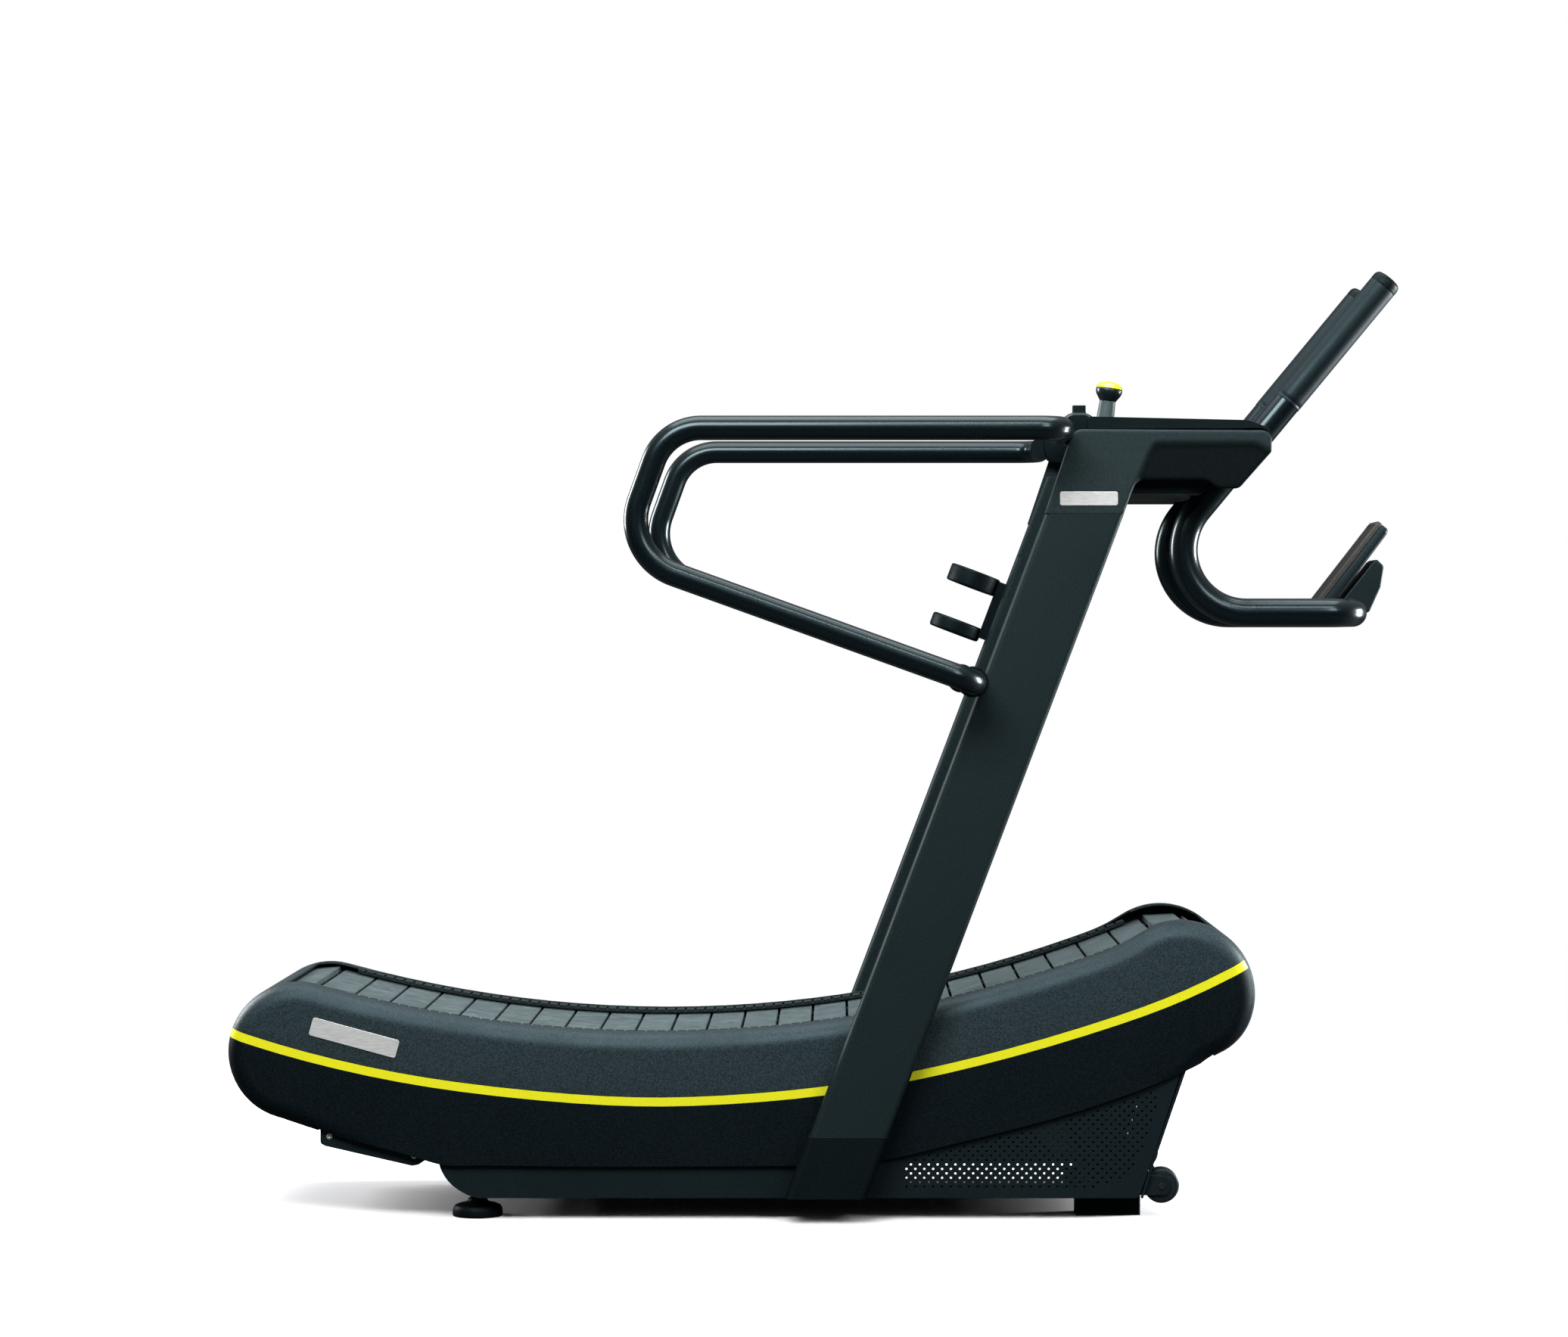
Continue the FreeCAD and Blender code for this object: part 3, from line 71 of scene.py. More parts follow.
def noise(nodes, links, vec, scale, detail=4.0, rough=0.6):
    n = nodes.new("ShaderNodeTexNoise")
    n.inputs["Scale"].default_value = scale
    n.inputs["Detail"].default_value = detail
    n.inputs["Roughness"].default_value = rough
    links.new(vec, n.inputs["Vector"])
    return n.outputs["Fac"]


def mixc(nodes, links, fac, a, b, mode="MIX"):
    m = nodes.new("ShaderNodeMix")
    m.data_type = "RGBA"
    m.blend_type = mode
    for s, v in ((m.inputs[6], a), (m.inputs[7], b)):
        if hasattr(v, "is_linked") or isinstance(v, bpy.types.NodeSocket):
            links.new(v, s)
        else:
            s.default_value = (*v, 1.0)
    if isinstance(fac, bpy.types.NodeSocket):
        links.new(fac, m.inputs[0])
    else:
        m.inputs[0].default_value = fac
    return m.outputs[2]


def mathn(nodes, links, op, a, b=None):
    m = nodes.new("ShaderNodeMath")
    m.operation = op
    for i, v in enumerate((a, b)):
        if v is None:
            continue
        if isinstance(v, bpy.types.NodeSocket):
            links.new(v, m.inputs[i])
        else:
            m.inputs[i].default_value = v
    return m.outputs[0]


def material(name, col, rough=0.5, grain=1100.0, bump=0.12, var=0.25, metal=0.0, spec=0.5, coat=0.0, coat_rough=0.15,
             edge=0.35, edge_r=0.0012, stretch=None, mottle=420.0, mottle_amt=0.35, sheen=0.0, dust=0.0, rvar=0.12, tint=None, painted_shade=None):
    """Procedural finish: fine grain in the bump, mottled colour, slow variation, lighter edges, optional painted shade
    from a mesh attribute, uneven roughness.
    """
    mat = bpy.data.materials.new(name)
    t, n, l = nt(mat)
    out = n.new("ShaderNodeOutputMaterial")
    p = n.new("ShaderNodeBsdfPrincipled")
    tc = n.new("ShaderNodeTexCoord")
    vec = tc.outputs["Object"]
    if stretch:
        mp = n.new("ShaderNodeMapping")
        mp.inputs["Scale"].default_value = stretch
        l.new(vec, mp.inputs["Vector"])
        svec = mp.outputs["Vector"]
    else:
        svec = vec
    fine = noise(n, l, svec, grain, 3.0, 0.65)
    mot = noise(n, l, svec, mottle, 3.0, 0.7)
    slow = noise(n, l, vec, 7.0, 3.0, 0.55)
    lo = [c * (1 - mottle_amt) for c in col]
    hi = [min(1.0, c * (1 + mottle_amt)) for c in col]
    f = ramp(n, l, mot, 0.3, 0.7, 0.0, 1.0)
    c = mixc(n, l, f, lo, hi)
    c = mixc(n, l, ramp(n, l, slow, 0.3, 0.7, 0.0, 1.0), c, mixc(n, l, 1.0, c, [1 - var * 0.5] * 3, "MULTIPLY"))
    # lighter edges: where a rounded normal differs from the true one
    if edge > 0:
        bev = n.new("ShaderNodeBevel")
        bev.samples = 4
        bev.inputs["Radius"].default_value = edge_r
        geo = n.new("ShaderNodeNewGeometry")
        dot = n.new("ShaderNodeVectorMath")
        dot.operation = "DOT_PRODUCT"
        l.new(bev.outputs["Normal"], dot.inputs[0])
        l.new(geo.outputs["Normal"], dot.inputs[1])
        e = ramp(n, l, dot.outputs["Value"], 0.995, 0.80, 0.0, 1.0)
        edge_noise = noise(n, l, vec, 60.0, 4.0, 0.7)
        e = mathn(n, l, "MULTIPLY", e, ramp(n, l, edge_noise, 0.35, 0.65, 0.15, 1.0))
        e = mathn(n, l, "MULTIPLY", e, edge)
        c = mixc(n, l, e, c, [min(1.0, x * 2.2 + 0.05) for x in col])
    if dust > 0:
        geo2 = n.new("ShaderNodeNewGeometry")
        sep = n.new("ShaderNodeSeparateXYZ")
        l.new(geo2.outputs["Normal"], sep.inputs[0])
        d = ramp(n, l, sep.outputs["Z"], 0.35, 1.0, 0.0, 1.0)
        d = mathn(n, l, "MULTIPLY", d, ramp(n, l, noise(n, l, vec, 38.0, 5.0, 0.7), 0.35, 0.7, 0.0, dust))
        c = mixc(n, l, d, c, [0.22, 0.22, 0.21])
    # painted shade: where the mesh attribute is 1, darken the colour and cut the specular (used for the head panels'
    # dished pocket)
    if painted_shade:
        at_ = n.new("ShaderNodeAttribute")
        at_.attribute_name = painted_shade[0]
        c = mixc(n, l, at_.outputs["Fac"], c, mixc(n, l, 1.0, c, [painted_shade[1]] * 3, "MULTIPLY"))
        l.new(ramp(n, l, at_.outputs["Fac"], 0.0, 1.0, spec, spec * 0.35), p.inputs["Specular IOR Level"])
    if tint:
        p.inputs["Specular Tint"].default_value = (*tint, 1.0)
    l.new(c, p.inputs["Base Color"])
    rr = ramp(n, l, mathn(n, l, "ADD", mathn(n, l, "MULTIPLY", slow, 0.6), mathn(n, l, "MULTIPLY", mot, 0.4)), 0.3, 0.7, rough - rvar, rough + rvar)
    l.new(rr, p.inputs["Roughness"])
    p.inputs["Metallic"].default_value = metal
    p.inputs["Specular IOR Level"].default_value = spec
    p.inputs["Coat Weight"].default_value = coat
    p.inputs["Coat Roughness"].default_value = coat_rough
    p.inputs["Sheen Weight"].default_value = sheen
    b = n.new("ShaderNodeBump")
    b.inputs["Strength"].default_value = bump
    b.inputs["Distance"].default_value = 0.0006
    l.new(fine, b.inputs["Height"])
    if edge > 0:
        l.new(bev.outputs["Normal"], b.inputs["Normal"])
    l.new(b.outputs["Normal"], p.inputs["Normal"])
    l.new(p.outputs["BSDF"], out.inputs["Surface"])
    return mat


def slat_material(name):
    """Worn rubber: dark grey, pale scuffs drawn out along the direction of travel, lighter towards the leading edge."""
    mat = bpy.data.materials.new(name)
    t, n, l = nt(mat)
    out = n.new("ShaderNodeOutputMaterial")
    p = n.new("ShaderNodeBsdfPrincipled")
    tc = n.new("ShaderNodeTexCoord")
    vec = tc.outputs["Object"]
    mp = n.new("ShaderNodeMapping")
    mp.inputs["Scale"].default_value = (14.0, 420.0, 14.0)
    l.new(vec, mp.inputs["Vector"])
    streak = noise(n, l, mp.outputs["Vector"], 1.0, 6.0, 0.75)
    mp2 = n.new("ShaderNodeMapping")
    mp2.inputs["Scale"].default_value = (60.0, 900.0, 60.0)
    l.new(vec, mp2.inputs["Vector"])
    fine = noise(n, l, mp2.outputs["Vector"], 1.0, 4.0, 0.7)
    blot = noise(n, l, vec, 9.0, 5.0, 0.65)
    scuff = noise(n, l, vec, 34.0, 6.0, 0.8)
    grain = noise(n, l, vec, 1500.0, 2.0, 0.6)
    a = mathn(n, l, "ADD", mathn(n, l, "MULTIPLY", streak, 0.38), mathn(n, l, "MULTIPLY", fine, 0.30))
    a = mathn(n, l, "ADD", a, mathn(n, l, "MULTIPLY", scuff, 0.32))
    f = ramp(n, l, a, 0.40, 0.62, 0.0, 1.0)
    c = mixc(n, l, f, [0.012, 0.018, 0.020], [0.125, 0.165, 0.170])
    c = mixc(n, l, ramp(n, l, blot, 0.35, 0.7, 0.0, 0.45), c, [0.026, 0.036, 0.038])
    # darker ribbed border along both ends of the slats
    sep = n.new("ShaderNodeSeparateXYZ")
    l.new(vec, sep.inputs[0])
    rib = mathn(n, l, "SINE", mathn(n, l, "MULTIPLY", sep.outputs["X"], 640.0))
    edge_y = mathn(n, l, "ADD", mathn(n, l, "ABSOLUTE", sep.outputs["Y"]), mathn(n, l, "MULTIPLY", rib, 0.0035))
    border = ramp(n, l, edge_y, 0.176, 0.182, 0.0, 0.88)
    c = mixc(n, l, border, c, [0.008, 0.0125, 0.0135])
    bev = n.new("ShaderNodeBevel")
    bev.samples = 4
    bev.inputs["Radius"].default_value = 0.0014
    geo = n.new("ShaderNodeNewGeometry")
    dot = n.new("ShaderNodeVectorMath")
    dot.operation = "DOT_PRODUCT"
    l.new(bev.outputs["Normal"], dot.inputs[0])
    l.new(geo.outputs["Normal"], dot.inputs[1])
    e = ramp(n, l, dot.outputs["Value"], 0.995, 0.85, 0.0, 0.55)
    c = mixc(n, l, e, c, [0.17, 0.19, 0.19])
    l.new(c, p.inputs["Base Color"])
    l.new(ramp(n, l, a, 0.35, 0.65, 0.48, 0.66), p.inputs["Roughness"])
    p.inputs["Specular IOR Level"].default_value = 0.22
    p.inputs["Specular Tint"].default_value = (0.62, 0.92, 1.0, 1.0)
    b = n.new("ShaderNodeBump")
    b.inputs["Strength"].default_value = 0.35
    b.inputs["Distance"].default_value = 0.0006
    l.new(mathn(n, l, "ADD", mathn(n, l, "MULTIPLY", a, 0.8), mathn(n, l, "MULTIPLY", grain, 0.3)), b.inputs["Height"])
    l.new(bev.outputs["Normal"], b.inputs["Normal"])
    l.new(b.outputs["Normal"], p.inputs["Normal"])
    l.new(p.outputs["BSDF"], out.inputs["Surface"])
    return mat


M = {}
T = (0.62, 0.92, 1.0)
M["cover_grey"] = material("fascia_slate_grain", (0.0165, 0.0260, 0.0305), 0.46, 480, 0.75, 0.2, spec=0.24, mottle=330, mottle_amt=0.70, edge=0.10, tint=T)
M["cover_black"] = material("fascia_black_grain", (0.0022, 0.0044, 0.0060), 0.52, 480, 0.75, 0.2, spec=0.10, mottle=330, mottle_amt=0.85, edge=0.08, tint=T)
M["trim_yellow"] = material("trim_yellow_plastic", (0.70, 0.685, 0.010), 0.42, 900, 0.05, 0.05, spec=0.25, mottle=300, mottle_amt=0.04, edge=0.0)
M["ribbed_rubber"] = material("ribbed_rubber_worn", (0.011, 0.0155, 0.016), 0.70, 1000, 0.4, 0.3, spec=0.15, mottle=260, mottle_amt=0.5, edge=0.45, edge_r=0.0008, dust=0.04, tint=T)
M["panel_black"] = material("panel_fine_texture", (0.0045, 0.0085, 0.0105), 0.50, 1000, 0.3, 0.2, spec=0.16, mottle=500, mottle_amt=0.5, edge=0.2, tint=T)
M["post_paint"] = material("post_textured_paint", (0.0080, 0.0140, 0.0152), 0.48, 760, 0.42, 0.15, spec=0.13, mottle=470, mottle_amt=0.48, edge=0.25, edge_r=0.0018, tint=T)
M["boot_paint"] = material("boot_textured_paint", (0.0022, 0.0045, 0.0055), 0.50, 760, 0.40, 0.15, spec=0.10, mottle=470, mottle_amt=0.5, edge=0.30, edge_r=0.0018, tint=T)
# head panels: painted shade in the dished pocket, driven by the rec attribute
M["head_grey"] = material("head_grained_plastic", (0.0125, 0.0198, 0.0212), 0.50, 700, 0.45, 0.15, spec=0.15, mottle=450, mottle_amt=0.42, edge=0.22, edge_r=0.0018, tint=T, painted_shade=("rec", 0.22))
M["console_black"] = material("console_grained_black", (0.0024, 0.0046, 0.0056), 0.44, 800, 0.30, 0.15, spec=0.10, mottle=480, mottle_amt=0.5, edge=0.3, tint=T)
M["tube_black"] = material("tube_satin_paint", (0.0020, 0.0042, 0.0055), 0.25, 560, 0.10, 0.15, spec=0.30, mottle=440, mottle_amt=0.5, edge=0.0, coat=0.14, coat_rough=0.12, rvar=0.04, tint=T)
M["grip_rubber"] = material("grip_soft_rubber", (0.0040, 0.0072, 0.0088), 0.46, 620, 0.25, 0.15, spec=0.20, mottle=400, mottle_amt=0.35, edge=0.0, tint=T)
M["frame_paint"] = material("frame_powder_coat", (0.0055, 0.0090, 0.0105), 0.45, 900, 0.25, 0.2, spec=0.20, mottle=500, mottle_amt=0.4, edge=0.4, tint=T)
M["display_black"] = material("display_black_plastic", (0.0042, 0.0075, 0.0090), 0.42, 800, 0.25, 0.15, spec=0.25, mottle=480, mottle_amt=0.5, edge=0.3, tint=T)
M["display_frame"] = material("display_rim_warm_grey", (0.036, 0.035, 0.030), 0.46, 800, 0.2, 0.12, spec=0.28, mottle=480, mottle_amt=0.4, edge=0.15)
M["screen_glass"] = material("display_glass", (0.004, 0.005, 0.006), 0.07, 300, 0.01, 0.1, spec=0.6, mottle=40, mottle_amt=0.2, edge=0.0, coat=0.8, coat_rough=0.03, rvar=0.03)
M["lever_grey"] = material("lever_satin_grey", (0.045, 0.060, 0.062), 0.38, 900, 0.12, 0.15, spec=0.35, mottle=500, mottle_amt=0.25, edge=0.2, tint=T)
M["lever_collar"] = material("lever_collar_dark", (0.006, 0.010, 0.012), 0.28, 900, 0.08, 0.15, spec=0.35, mottle=500, mottle_amt=0.3, edge=0.2, coat=0.2, tint=T)
M["cap_yellow"] = material("lever_cap_gloss", (0.80, 0.80, 0.010), 0.14, 400, 0.02, 0.05, spec=0.55, mottle=200, mottle_amt=0.04, edge=0.0, coat=0.9, coat_rough=0.05, rvar=0.04)
M["badge_metal"] = material("badge_brushed_metal", (0.62, 0.63, 0.62), 0.34, 420, 0.25, 0.15, metal=0.35, spec=0.5, stretch=(0.10, 1, 2.0), mottle=700, mottle_amt=0.22, edge=0.7)
M["steel"] = material("steel_turned", (0.42, 0.42, 0.42), 0.30, 600, 0.2, 0.2, metal=1.0, stretch=(1, 0.15, 1), mottle=500, mottle_amt=0.2, edge=0.3)
M["screw_steel"] = material("screw_zinc", (0.55, 0.55, 0.53), 0.34, 700, 0.15, 0.2, metal=0.9, mottle=500, mottle_amt=0.2, edge=0.4)
M["aluminium"] = material("aluminium_turned", (0.52, 0.52, 0.53), 0.33, 500, 0.2, 0.2, metal=1.0, stretch=(1, 0.2, 1), mottle=500, mottle_amt=0.2, edge=0.3)
M["belt_rubber"] = material("belt_black_rubber", (0.012, 0.012, 0.012), 0.6, 900, 0.3, 0.3, spec=0.4, mottle=300, mottle_amt=0.4, edge=0.2)
M["wheel_black"] = material("wheel_rubber", (0.0075, 0.0115, 0.0130), 0.5, 700, 0.3, 0.3, spec=0.25, mottle=240, mottle_amt=0.5, edge=0.4, tint=T)
M["foot_black"] = material("foot_rubber", (0.0022, 0.0037, 0.0044), 0.52, 900, 0.3, 0.3, spec=0.09, mottle=300, mottle_amt=0.5, edge=0.35, tint=T)
M["slat_rubber"] = slat_material("slat_worn_rubber")
# light silver grey on the hood rim: a painted highlight standing in for the light caught by the rounded nose
M["rim_satin"] = material("hood_rim_painted_highlight", (0.23, 0.25, 0.255), 0.30, 900, 0.12, 0.15, spec=0.55, mottle=600, mottle_amt=0.15, edge=0.2)

slots = {s["node"]: s["material_slot"] for s in frame["record"]["subparts"]}
override = {"cover_screws": "screw_steel", "lever_cap": "cap_yellow", "post_boot_right": "boot_paint", "post_boot_left": "boot_paint"}


def set_mat(ob, m):
    ob.data.materials.clear()
    ob.data.materials.append(m)
    for p in ob.data.polygons:
        p.material_index = 0


def smooth_cad(ob, angle=32.0):
    """Shade CAD nodes smoothly, without touching a vertex: weld duplicate corners, then smooth by angle."""
    me = ob.data
    for p in me.polygons:
        p.use_smooth = True
    try:
        bpy.context.view_layer.objects.active = ob
        if me.has_custom_normals:
            with bpy.context.temp_override(object=ob, active_object=ob, selected_objects=[ob]):
                bpy.ops.mesh.customdata_custom_splitnormals_clear()
    except Exception:
        pass
    w = ob.modifiers.new("weld", "WELD")
    w.merge_threshold = 1e-6
    b = ob.modifiers.new("smooth", "NODES")
    b.node_group = smooth_group(angle)


_groups = {}


def smooth_group(angle):
    if angle in _groups:
        return _groups[angle]
    g = bpy.data.node_groups.new("smooth_by_angle_%d" % angle, "GeometryNodeTree")
    g.interface.new_socket("Geometry", in_out="INPUT", socket_type="NodeSocketGeometry")
    g.interface.new_socket("Geometry", in_out="OUTPUT", socket_type="NodeSocketGeometry")
    i, o = g.nodes.new("NodeGroupInput"), g.nodes.new("NodeGroupOutput")
    ea = g.nodes.new("GeometryNodeInputMeshEdgeAngle")
    cmp = g.nodes.new("FunctionNodeCompare")
    cmp.operation = "GREATER_THAN"
    cmp.inputs[1].default_value = math.radians(angle)
    s1 = g.nodes.new("GeometryNodeSetShadeSmooth")
    s1.domain = "FACE"
    s2 = g.nodes.new("GeometryNodeSetShadeSmooth")
    s2.domain = "EDGE"
    inv = g.nodes.new("FunctionNodeBooleanMath")
    inv.operation = "NOT"
    g.links.new(i.outputs[0], s1.inputs["Geometry"])
    s1.inputs["Shade Smooth"].default_value = True
    g.links.new(s1.outputs[0], s2.inputs["Geometry"])
    g.links.new(ea.outputs["Unsigned Angle"], cmp.inputs[0])
    g.links.new(cmp.outputs[0], inv.inputs[0])
    g.links.new(inv.outputs[0], s2.inputs["Shade Smooth"])
    g.links.new(s2.outputs[0], o.inputs[0])
    _groups[angle] = g
    return g


for name, ob in NODES.items():
    set_mat(ob, M[override.get(name, slots.get(name, "frame_paint"))])
    smooth_cad(ob)


# ------------------------------------------------------------------ mesh helpers (millimetre stations, same datum as the CAD source)
def P(x, y, z):
    return Vector((x / 1000.0 + XS, y / 1000.0, z / 1000.0))


def obj(name, verts, faces, mat, body="base", node=None, slot=None, smooth=True, angle=35.0):
    me = bpy.data.meshes.new(name)
    me.from_pydata([tuple(v) for v in verts], [], faces)
    me.validate()
    bm = bmesh.new()
    bm.from_mesh(me)
    bmesh.ops.remove_doubles(bm, verts=bm.verts, dist=1e-6)
    bmesh.ops.recalc_face_normals(bm, faces=bm.faces)
    bm.to_mesh(me)
    bm.free()
    ob = bpy.data.objects.new(name, me)
    scene.collection.objects.link(ob)
    me.materials.append(mat)
    for p in me.polygons:
        p.use_smooth = smooth
    if smooth:
        me.set_sharp_from_angle(angle=math.radians(angle))
    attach(ob, body)
    if node:
        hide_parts(*([node] if isinstance(node, str) else node))
    return ob


def frames_along(path):
    """Parallel-transport frames for a polyline."""
    pts = [Vector(p) for p in path]
    t = []
    for i in range(len(pts)):
        a, b = pts[max(i - 1, 0)], pts[min(i + 1, len(pts) - 1)]
        t.append((b - a).normalized())
    u = t[0].orthogonal().normalized()
    out = []
    for i in range(len(pts)):
        if i:
            q = t[i - 1].rotation_difference(t[i])
            u = q @ u
        u = (u - t[i] * u.dot(t[i])).normalized()
        out.append((pts[i], t[i], u, t[i].cross(u)))
    return out


def sweep(path, r, seg=56, cap=True, round_end=0.0):
    """Round tube along a polyline; r is a number or a list of radii (metres)."""
    fr = frames_along(path)
    rr = r if isinstance(r, (list, tuple)) else [r] * len(fr)
    V, F = [], []
    for (p, t, u, w), rad in zip(fr, rr):
        for k in range(seg):
            a = 2 * math.pi * k / seg
            V.append(p + (u * math.cos(a) + w * math.sin(a)) * rad)
    for i in range(len(fr) - 1):
        for k in range(seg):
            a, b = i * seg + k, i * seg + (k + 1) % seg
            F.append((a, b, b + seg, a + seg))
    if cap:
        F.append(tuple(range(seg))[::-1])
        F.append(tuple(range((len(fr) - 1) * seg, len(fr) * seg)))
    return V, F


def arc3(c, a0, a1, r, n, f):
    """n points on an arc; f maps (cos, sin) offsets to a point."""
    return [f(c, r * math.cos(math.radians(a0 + (a1 - a0) * k / n)), r * math.sin(math.radians(a0 + (a1 - a0) * k / n))) for k in range(n + 1)]


def line(a, b, n):
    return [a.lerp(b, k / n) for k in range(n + 1)]


def join_paths(*parts):
    out = []
    for p in parts:
        for q in p:
            if not out or (q - out[-1]).length > 1e-5:
                out.append(q)
    return out


def merge(*vf):
    V, F = [], []
    for v, f in vf:
        o = len(V)
        V += list(v)
        F += [tuple(i + o for i in q) for q in f]
    return V, F


def mirror_y(vf):
    v, f = vf
    return [Vector((p.x, -p.y, p.z)) for p in v], [q[::-1] for q in f]


def loft_rings(rings, cap=True):
    n = len(rings[0])
    V, F = [p for r in rings for p in r], []
    for i in range(len(rings) - 1):
        for k in range(n):
            a, b = i * n + k, i * n + (k + 1) % n
            F.append((a, b, b + n, a + n))
    if cap:
        F.append(tuple(range(n))[::-1])
        F.append(tuple(range((len(rings) - 1) * n, len(rings) * n)))
    return V, F


def lathe(prof, origin, axis, seg=72):
    """Revolve (radius, height) pairs (mm) about an axis."""
    ax = Vector(axis).normalized()
    u = ax.orthogonal().normalized()
    w = ax.cross(u)
    V, F = [], []
    idx = []
    for r, h in prof:
        base = Vector(origin) + ax * (h / 1000.0)
        if r < 1e-6:
            idx.append([len(V)])
            V.append(base)
        else:
            idx.append(list(range(len(V), len(V) + seg)))
            for k in range(seg):
                a = 2 * math.pi * k / seg
                V.append(base + (u * math.cos(a) + w * math.sin(a)) * (r / 1000.0))
    for i in range(len(idx) - 1):
        a, b = idx[i], idx[i + 1]
        for k in range(seg):
            k2 = (k + 1) % seg
            if len(a) == 1 and len(b) == 1:
                continue
            if len(a) == 1:
                F.append((a[0], b[k], b[k2]))
            elif len(b) == 1:
                F.append((a[k], a[k2], b[0]))
            else:
                F.append((a[k], a[k2], b[k2], b[k]))
    return V, F


def rounded_outline(pts, radii, n=8):
    """2-D outline (x, z) with rounded corners, as a list of points."""
    out = []
    m = len(pts)
    for i in range(m):
        p0, p1, p2 = (Vector(pts[(i + k) % m]) for k in (-1, 0, 1))
        r = radii[i] if isinstance(radii, (list, tuple)) else radii
        a, b = (p0 - p1).normalized(), (p2 - p1).normalized()
        ang = a.angle(b)
        if r <= 0.01 or ang > math.pi - 1e-3:
            out.append(tuple(p1))
            continue
        d = min(r / math.tan(ang / 2), 0.48 * (p0 - p1).length, 0.48 * (p2 - p1).length)
        r = d * math.tan(ang / 2)
        bis = (a + b).normalized()
        c = p1 + bis * (r / math.sin(ang / 2))
        s, e = p1 + a * d - c, p1 + b * d - c
        a0, a1 = math.atan2(s.y, s.x), math.atan2(e.y, e.x)
        da = (a1 - a0 + math.pi) % (2 * math.pi) - math.pi
        for k in range(n + 1):
            t = a0 + da * k / n
            out.append((c.x + r * math.cos(t), c.y + r * math.sin(t)))
    return out


def inset(pts, d):
    """Moves a closed outline inwards by d (small against its corners)."""
    n = len(pts)
    area = sum(pts[i][0] * pts[(i + 1) % n][1] - pts[(i + 1) % n][0] * pts[i][1] for i in range(n))
    s = 1.0 if area > 0 else -1.0
    out = []
    for i in range(n):
        a, b, c = Vector(pts[i - 1]), Vector(pts[i]), Vector(pts[(i + 1) % n])
        t1, t2 = (b - a), (c - b)
        t1 = t1.normalized() if t1.length > 1e-9 else t2.normalized()
        t2 = t2.normalized() if t2.length > 1e-9 else t1
        nrm = Vector((-(t1 + t2).y, (t1 + t2).x)).normalized() * s
        k = 1.0 / max(0.5, nrm.dot(Vector((-t1.y, t1.x)) * s))
        out.append((b.x + nrm.x * d * k, b.y + nrm.y * d * k))
    return out


def slab(outline, y0, y1, r, n=6):
    """Prism along Y between y0 and y1 (mm), with its two rims rounded by r."""
    rings = []
    s = 1 if y1 > y0 else -1
    for k in range(n + 1):
        t = math.radians(90 - 90 * k / n)
        rings.append([P(x, y0 + s * (r - r * math.sin(t)), z) for x, z in inset(outline, r - r * math.cos(t))])
    for k in range(n + 1):
        t = math.radians(90 * k / n)
        rings.append([P(x, y1 - s * (r - r * math.sin(math.radians(0) + t)) if False else y1 - s * (r - r * math.sin(t)), z) for x, z in inset(outline, r - r * math.cos(t))])
    fixed = []
    for k in range(n + 1):                      # first rim: inset r -> 0 while y goes y0 -> y0 + r
        t = math.radians(90 * k / n)
        fixed.append([P(x, y0 + s * r * (1 - math.cos(t)), z) for x, z in inset(outline, r * (1 - math.sin(t)))])
    for k in range(n + 1):                      # second rim
        t = math.radians(90 * k / n)
        fixed.append([P(x, y1 - s * r * (1 - math.sin(t)), z) for x, z in inset(outline, r * (1 - math.cos(t)))])
    return loft_rings(fixed)


# ------------------------------------------------------------------ round bars
ZR, YR, RR = 1372.0, 446.0, 0.021
leg = math.radians(-19.8)
dl = (math.cos(leg), math.sin(leg))
dbk = (dl[1], -dl[0])
xe, ze = 229.0, 939.23
tc0 = (-296.6, ZR)
kq = (xe - tc0[0]) * dl[0] + (ze - tc0[1]) * dl[1]
lc0 = (xe - dl[0] * kq, ze - dl[1] * kq)
RB1, RB2 = 86.0, 98.0
bc1 = (tc0[0] + RB1 * math.tan(math.radians(35.1)), ZR - RB1)
bc2 = (lc0[0] - dbk[0] * RB2 + dl[0] * RB2, lc0[1] - dbk[1] * RB2 + dl[1] * RB2)


def rail_path():
    k = 42.0
    a = line(P(379, -287, ZR), P(379, -YR + k, ZR), 6)
    b = [P(379 - k + k * math.cos(t), -YR + k - k * math.sin(t), ZR) for t in [math.radians(90 * i / 14) for i in range(15)]]
    c = line(P(379 - k, -YR, ZR), P(bc1[0], -YR, ZR), 20)
    d = [P(bc1[0] + RB1 * math.cos(t), -YR, bc1[1] + RB1 * math.sin(t)) for t in [math.radians(90 + 70.2 * i / 24) for i in range(25)]]
    d2 = [P(bc2[0] + RB2 * math.cos(t), -YR, bc2[1] + RB2 * math.sin(t)) for t in [math.radians(160.2 + 90 * i / 30) for i in range(31)]]
    st = line(d[-1], d2[0], 6)
    lo = (bc2[0] + RB2 * math.cos(math.radians(250.2)), bc2[1] + RB2 * math.sin(math.radians(250.2)))
    e0 = (xe - dl[0] * k, ze - dl[1] * k)
    e = line(P(lo[0], -YR, lo[1]), P(e0[0], -YR, e0[1]), 20)
    f = []
    for i in range(15):
        t = math.radians(90 * i / 14)
        f.append(P(e0[0] + dl[0] * k * math.sin(t), -YR + k - k * math.cos(t), e0[1] + dl[1] * k * math.sin(t)))
    g = line(P(xe, -YR + k, ze), P(xe, -286, ze), 6)
    return join_paths(a, b, c, d, st, d2, e, f, g)


KN = rounded_outline([(382.5, 1343.5), (444.5, 1343.5), (444.5, 1405.5), (382.5, 1405.5)], 24.0, 12)


